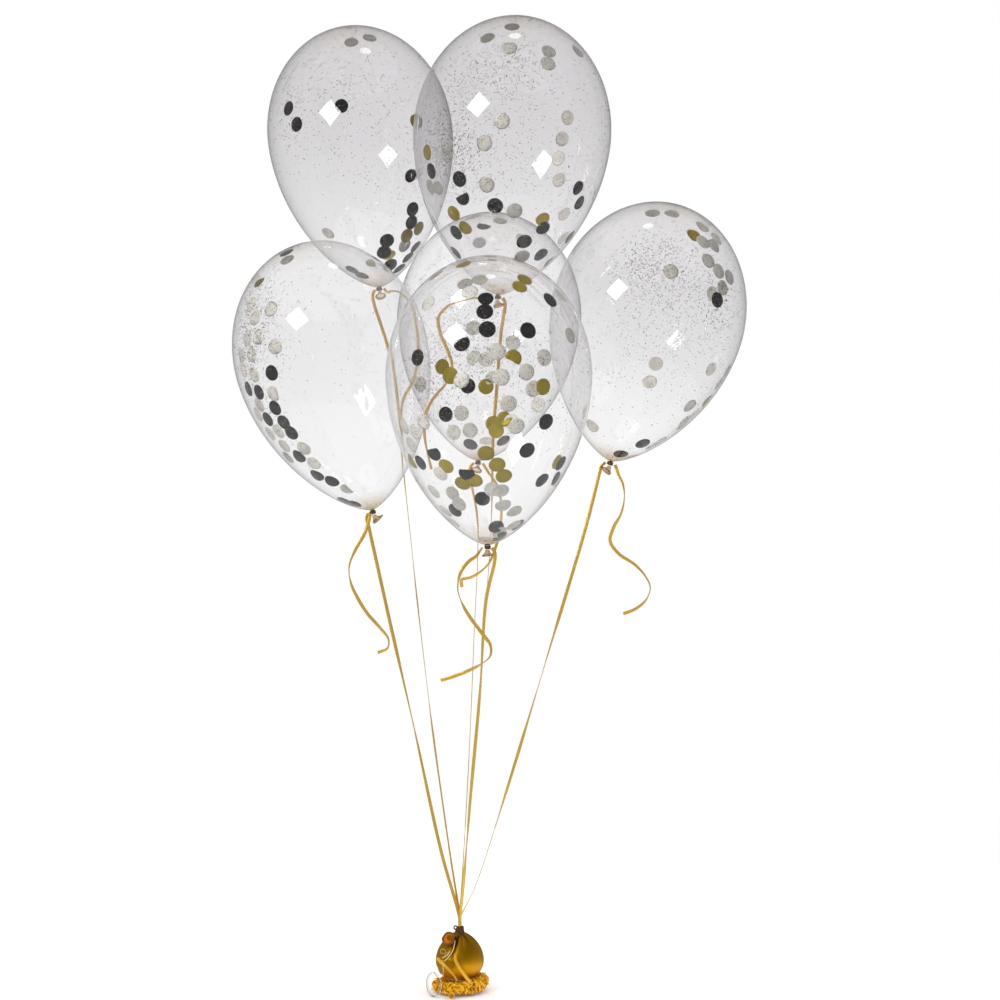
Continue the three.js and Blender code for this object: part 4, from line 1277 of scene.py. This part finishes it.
def softbox():
    """A lozenge of lit cloth that faces the bunch. It is mirrored in the latex and lights the matt surfaces, but
    isn't seen itself."""
    stage = bpy.context.scene.bouquet_stage
    middle = np.array(stage.softbox_place)
    away = (middle - BUNCH_MIDDLE) / np.linalg.norm(middle - BUNCH_MIDDLE)
    level = np.cross(away, (0, 0, 1))
    level /= np.linalg.norm(level)
    up = np.cross(level, away)
    tilt = math.radians(stage.softbox_tilt)
    wide = (level * math.cos(tilt) + up * math.sin(tilt)) * stage.softbox_width / 2
    tall = (up * math.cos(tilt) - level * math.sin(tilt)) * stage.softbox_height / 2
    corners = [middle, middle + wide, middle + tall, middle - wide, middle - tall]
    mesh = bpy.data.meshes.new("softbox")
    mesh.from_pydata([tuple(corner) for corner in corners], [], [(0, 1, 2), (0, 2, 3), (0, 3, 4), (0, 4, 1)])
    mesh.attributes.new("glow", "FLOAT", "POINT").data.foreach_set("value", (1, 0, 0, 0, 0))
    mesh.materials.append(kept("softbox_cloth", softbox_cloth))
    cloth = bpy.data.objects.new("softbox", mesh)
    bpy.context.scene.collection.objects.link(cloth)
    cloth.visible_camera = False


def surroundings():
    """White all round for the camera and for what is seen through the latex, soft light on matt surfaces, and a
    dimmer studio in what shiny surfaces and the latex's inner walls mirror, brighter low down and darkest ahead."""
    scene = bpy.context.scene
    stage = scene.bouquet_stage
    world = bpy.data.worlds.new("studio")
    scene.world = world
    world.use_nodes = True
    tree = world.node_tree
    tree.nodes.clear()
    ray = tree.nodes.new("ShaderNodeLightPath")
    outside = math_node(tree, "SUBTRACT", ray.outputs["Is Reflection Ray"], ray.outputs["Is Diffuse Ray"], True)
    inside = math_node(tree, "SUBTRACT", ray.outputs["Glossy Depth"],
                       math_node(tree, "MULTIPLY", ray.outputs["Diffuse Depth"], 100.0), True)
    mirrored = math_node(tree, "MAXIMUM", outside, math_node(tree, "MULTIPLY", inside, stage.inner_dimming))
    place = tree.nodes.new("ShaderNodeTexCoord").outputs["Generated"]
    parts = add(tree, "ShaderNodeSeparateXYZ", Vector=place)
    low = add(tree, "ShaderNodeMapRange", dict(interpolation_type="SMOOTHSTEP"), Value=parts.outputs["Z"],
              i1=-0.6, i2=0.5, i3=1.9, i4=0.6)
    ahead = add(tree, "ShaderNodeVectorMath", dict(operation="DOT_PRODUCT"), i0=place, i1=(0.1, -0.93, 0.35))
    dark = add(tree, "ShaderNodeMapRange", dict(interpolation_type="SMOOTHSTEP"), Value=ahead.outputs["Value"],
               i1=-0.3, i2=0.6, i3=1.0, i4=0.36)
    studio = math_node(tree, "MULTIPLY", math_node(tree, "MULTIPLY", low.outputs[0], dark.outputs[0]), stage.studio)
    plain = add(tree, "ShaderNodeMix", dict(data_type="FLOAT"))
    tree.links.new(ray.outputs["Is Diffuse Ray"], plain.inputs[0])
    plain.inputs[2].default_value = stage.backdrop
    plain.inputs[3].default_value = stage.fill
    strength = add(tree, "ShaderNodeMix", dict(data_type="FLOAT"))
    tree.links.new(mirrored, strength.inputs[0])
    tree.links.new(plain.outputs[0], strength.inputs[2])
    tree.links.new(studio, strength.inputs[3])
    shine = add(tree, "ShaderNodeBackground", Color=(1, 1, 1, 1), Strength=strength.outputs[0])
    output = tree.nodes.new("ShaderNodeOutputWorld")
    tree.links.new(shine.outputs[0], output.inputs["Surface"])
    world.cycles.sampling_method = "NONE"


def floor_material(name):
    """Smooth pale board with a faint mottle."""
    material, tree, shader = new_material(name)
    grain = use_group(tree, kept("fine_grain", grain_group), Fine_scale=60.0, Broad_scale=2.0)
    pale = colours().floor
    base = mix_colour(tree, grain.outputs["Broad"], colour4(pale), colour4([v * 0.985 for v in pale]))
    tree.links.new(base, shader.inputs["Base Color"])
    shader.inputs["Roughness"].default_value = 0.8
    shader.inputs["Specular IOR Level"].default_value = 0.0
    return material


class BOUQUET_OT_stage(bpy.types.Operator):
    """Makes the camera, the lights, the white surroundings and the pale floor"""

    bl_idname = "bouquet.stage"
    bl_label = "Stage"

    def execute(self, context):
        camera_and_ceiling()
        softbox()
        surroundings()
        stage = context.scene.bouquet_stage
        angle = np.linspace(0, 2 * np.pi, 96, endpoint=False)
        rim = np.stack([np.cos(angle), np.sin(angle), np.zeros(96)], -1)
        for name, place, radius, mirrored in (("floor", (0, 0, 0), stage.floor_radius, False),
                                              ("mat", stage.mat_place, stage.mat_radius, True)):
            mesh = bpy.data.meshes.new(name)
            mesh.from_pydata((rim * radius + np.array(place)).tolist(), [], [list(range(96))])
            mesh.materials.append(kept("pale_floor", floor_material))
            board = bpy.data.objects.new(name, mesh)
            context.scene.collection.objects.link(board)
            board.visible_glossy = mirrored
        return {"FINISHED"}


# Pieces


def beside_neck(name, side, steps):
    """Points on one side of a leaning neck, each a distance from its axis and a drop below the neck's top."""
    way = np.array([*side, 0.0])
    way /= np.linalg.norm(way)
    top = neck_top(BALLOONS[name]["taper"])
    return stood(name, np.array([way * out + (0, 0, top - drop) for out, drop in steps]))


def hang_cord(name, path, turns, node, finish):
    s = sizes()
    share = distances(path) / distances(path)[-1]
    points, faces, values = strip(path, eased(turns, share), s.ribbon_width, s.ribbon_thickness)
    piece = make_piece(name, points, faces, [finish], values)
    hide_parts(node)
    return piece


class BOUQUET_OT_ribbons(bpy.types.Operator):
    """Makes the ribbon of each balloon, from its neck down to the knot at the weight"""

    bl_idname = "bouquet.ribbons"
    bl_label = "Ribbons"

    def execute(self, context):
        s = sizes()
        finish = kept("gold_ribbon_film", gold_ribbon)
        beside = s.neck_radius + s.wrap_thickness + 0.6 * MM + s.ribbon_width / 2
        past_lip = s.lip_radius + s.ribbon_width / 2 + 0.6 * MM
        exits = [(beside, 0.6 * s.wrap_height), (past_lip, s.wrap_height + 0.5 * s.lip_drop),
                 (past_lip + 0.3 * MM, s.wrap_height + 1.9 * s.lip_drop)]
        knot_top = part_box("weight_knot")[1][2]
        for order, name in enumerate(BALLOONS):
            in_knot = 1.7 * MM * (order - (len(BALLOONS) - 1) / 2)
            ends = np.array([(0, in_knot, knot_top + 10.3 * MM), (0, in_knot, knot_top + 0.3 * MM)])
            path = np.concatenate([beside_neck(name, BALLOONS[name]["side"], exits),
                                   np.array(RIBBON_ROUTES[name]) * MM, ends])
            hang_cord(f"{name}_ribbon_film", spline(path, 14), RIBBON_TURNS[name], f"ribbon_{name}",
                      finish)
        return {"FINISHED"}


class BOUQUET_OT_tails(bpy.types.Operator):
    """Makes the curled tail of ribbon that hangs from each neck"""

    bl_idname = "bouquet.tails"
    bl_label = "Curled tails"

    def execute(self, context):
        s = sizes()
        finish = kept("gold_ribbon_film", gold_ribbon)
        beside = s.neck_radius + s.wrap_thickness + 0.6 * MM + s.ribbon_width / 2
        past_lip = s.lip_radius + s.ribbon_width / 2 + 0.6 * MM
        exits = [(beside, 0.6 * s.wrap_height), (past_lip, s.wrap_height + 0.5 * s.lip_drop)]
        for name, balloon in BALLOONS.items():
            path = np.concatenate([beside_neck(name, balloon["tail_side"], exits),
                                   np.array(TAIL_ROUTES[name]) * MM])
            hang_cord(f"{name}_tail_film", spline(path, 12), TAIL_TURNS[name], f"tail_{name}",
                      finish)
        return {"FINISHED"}


class BOUQUET_OT_loose_ends(bpy.types.Operator):
    """Makes the two loose ends that lie over the front of the weight"""

    bl_idname = "bouquet.loose_ends"
    bl_label = "Loose ends"

    def execute(self, context):
        finish = kept("loose_gold_ribbon_film", loose_gold_ribbon)
        for name, route in LOOSE_ENDS.items():
            across = sizes().weight_radius
            path = spline(np.array(route) * (across, across, MM), 12)
            hang_cord(f"{name}_loose_end_film", path, LOOSE_TURNS[name], f"loose_end_{name}",
                      finish)
        return {"FINISHED"}


class BOUQUET_OT_skins(bpy.types.Operator):
    """Makes the clear latex skin of each balloon, with its neck and flared lip"""

    bl_idname = "bouquet.skins"
    bl_label = "Clear balloons"

    def execute(self, context):
        finish = kept("clear_latex_skin", clear_latex)
        for name in BALLOONS:
            points, faces, values = balloon_skin(name)
            piece = make_piece(f"{name}_balloon_skin", points, faces, [finish], values)
            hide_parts(f"balloon_{name}")
            piece.visible_shadow = False
        return {"FINISHED"}


class BOUQUET_OT_bindings(bpy.types.Operator):
    """Makes the ribbon wound round each neck"""

    bl_idname = "bouquet.bindings"
    bl_label = "Neck bindings"

    def execute(self, context):
        # Painted shade: the bindings take the darkened gold ribbon
        finish = kept("gold_ribbon_in_painted_shade_film", gold_ribbon_in_painted_shade)
        for name in BALLOONS:
            points, faces, values = neck_winding(name)
            piece = make_piece(f"{name}_neck_winding", stood(name, points), faces, [finish], values)
            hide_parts(f"neck_binding_{name}")
        return {"FINISHED"}


class BOUQUET_OT_confetti(bpy.types.Operator):
    """Scatters the paper discs and the glitter inside each balloon"""

    bl_idname = "bouquet.confetti"
    bl_label = "Confetti and glitter"

    def execute(self, context):
        c = colours()
        papers = [
            kept("black_tissue", lambda name: paper(name, c.paper_black, 0.0, 0.62, (0.03, 0.028, 0.026))),
            kept("silver_tissue", lambda name: paper(name, c.paper_silver, 0.15, 0.48, (0.10, 0.09, 0.08))),
            kept("old_gold_foil", lambda name: paper(name, c.paper_gold, 0.45, 0.36, (0.46, 0.38, 0.05))),
        ]
        flake = kept("glitter_flake", glitter_flake)
        for place, name in enumerate(BALLOONS):
            rng = np.random.default_rng(sizes().seed + place)
            points, faces, values, shades = confetti(name, rng)
            discs = make_piece(f"{name}_confetti", points, faces, papers, values, shades)
            sheet = discs.modifiers.new("paper", "SOLIDIFY")
            sheet.thickness = 0.12 * MM
            sheet.offset = 0
            points, faces, values = glitter(name, rng)
            make_piece(f"{name}_glitter", points, faces, [flake], values, smooth=False)
        return {"FINISHED"}


class BOUQUET_OT_weight(bpy.types.Operator):
    """Makes the small gold balloon with its open mouth, and the knot round its neck"""

    bl_idname = "bouquet.weight"
    bl_label = "Weight"

    def execute(self, context):
        shell_points, shell_faces, shell_values = weight_shell()
        shell_values["inside"] = 0.0
        bent_tube, mouth = weight_mouth()
        points, faces, values = joined([(shell_points, shell_faces, shell_values), bent_tube, mouth])
        outside = len(shell_faces) + len(bent_tube[1])
        slots = np.repeat([0, 1], [outside, len(mouth[1])])
        finishes = [kept("chrome_gold_latex", chrome_latex), kept("amber_latex", mouth_latex)]
        piece = make_piece("small_gold_balloon", points, faces, finishes, values, slots)
        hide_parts("weight_balloon")
        points, faces, values = knot_winding()
        # Painted shade: the knot takes the darkened gold ribbon
        knot = make_piece("knot_winding", points, faces, [kept("gold_ribbon_in_painted_shade_film", gold_ribbon_in_painted_shade)], values)
        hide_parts("weight_knot")
        return {"FINISHED"}


class BOUQUET_OT_nest(bpy.types.Operator):
    """Makes the nest of curled strips and the loop of clear ribbon beside it"""

    bl_idname = "bouquet.nest"
    bl_label = "Nest"

    def execute(self, context):
        points, faces, values = nest_of_curls(np.random.default_rng(sizes().seed + 20))
        finish = kept("bright_gold_ribbon_film", bright_gold_ribbon)
        nest = make_piece("nest_of_curls", points, faces, [finish], values)
        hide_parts("ribbon_nest")
        points, faces, values = shreds_on_weight()
        make_piece("shreds_on_weight", points, faces, [kept("pale_shred_film", pale_shred)], values)
        points, faces, values = clear_loop_band()
        loop = make_piece("clear_loop_film", points, faces, [kept("clear_ribbon_film", clear_film)], values)
        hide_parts("clear_loop")
        loop.visible_shadow = False
        return {"FINISHED"}


class BOUQUET_PT_panel(bpy.types.Panel):
    """Lists the steps that build the bouquet"""

    bl_idname = "BOUQUET_PT_panel"
    bl_label = "Balloon bouquet"
    bl_space_type = "VIEW_3D"
    bl_region_type = "UI"
    bl_category = "Bouquet"

    def draw(self, context):
        for operator in OPERATORS:
            self.layout.operator(operator.bl_idname)
        for group in ("bouquet_sizes", "bouquet_colours", "bouquet_stage"):
            settings = getattr(context.scene, group)
            box = self.layout.box()
            for label in settings.__annotations__:
                box.prop(settings, label)


OPERATORS = (BOUQUET_OT_stage, BOUQUET_OT_ribbons, BOUQUET_OT_tails, BOUQUET_OT_loose_ends, BOUQUET_OT_skins,
             BOUQUET_OT_bindings, BOUQUET_OT_confetti, BOUQUET_OT_weight, BOUQUET_OT_nest)
GROUPS = {"bouquet_sizes": BouquetSizes, "bouquet_colours": BouquetColours, "bouquet_stage": BouquetStage}


def register():
    """Registers the classes and hangs the settings on the scene."""
    for group in (*GROUPS.values(), *OPERATORS, BOUQUET_PT_panel):
        bpy.utils.register_class(group)
    for label, group in GROUPS.items():
        setattr(bpy.types.Scene, label, PointerProperty(type=group))


def unregister():
    """Takes the settings and classes away again."""
    for label in GROUPS:
        delattr(bpy.types.Scene, label)
    for group in (BOUQUET_PT_panel, *OPERATORS[::-1], *list(GROUPS.values())[::-1]):
        bpy.utils.unregister_class(group)


def main():
    """Builds everything in order."""
    register()
    scene = bpy.context.scene
    scene.view_settings.view_transform = "Standard"
    scene.cycles.max_bounces = 40
    scene.cycles.transmission_bounces = 36
    scene.cycles.glossy_bounces = 8
    scene.cycles.transparent_max_bounces = 16
    scene.cycles.sample_clamp_indirect = 0
    for operator in OPERATORS:
        category, action = operator.bl_idname.split(".")
        getattr(getattr(bpy.ops, category), action)()


if __name__ == "__main__":
    main()
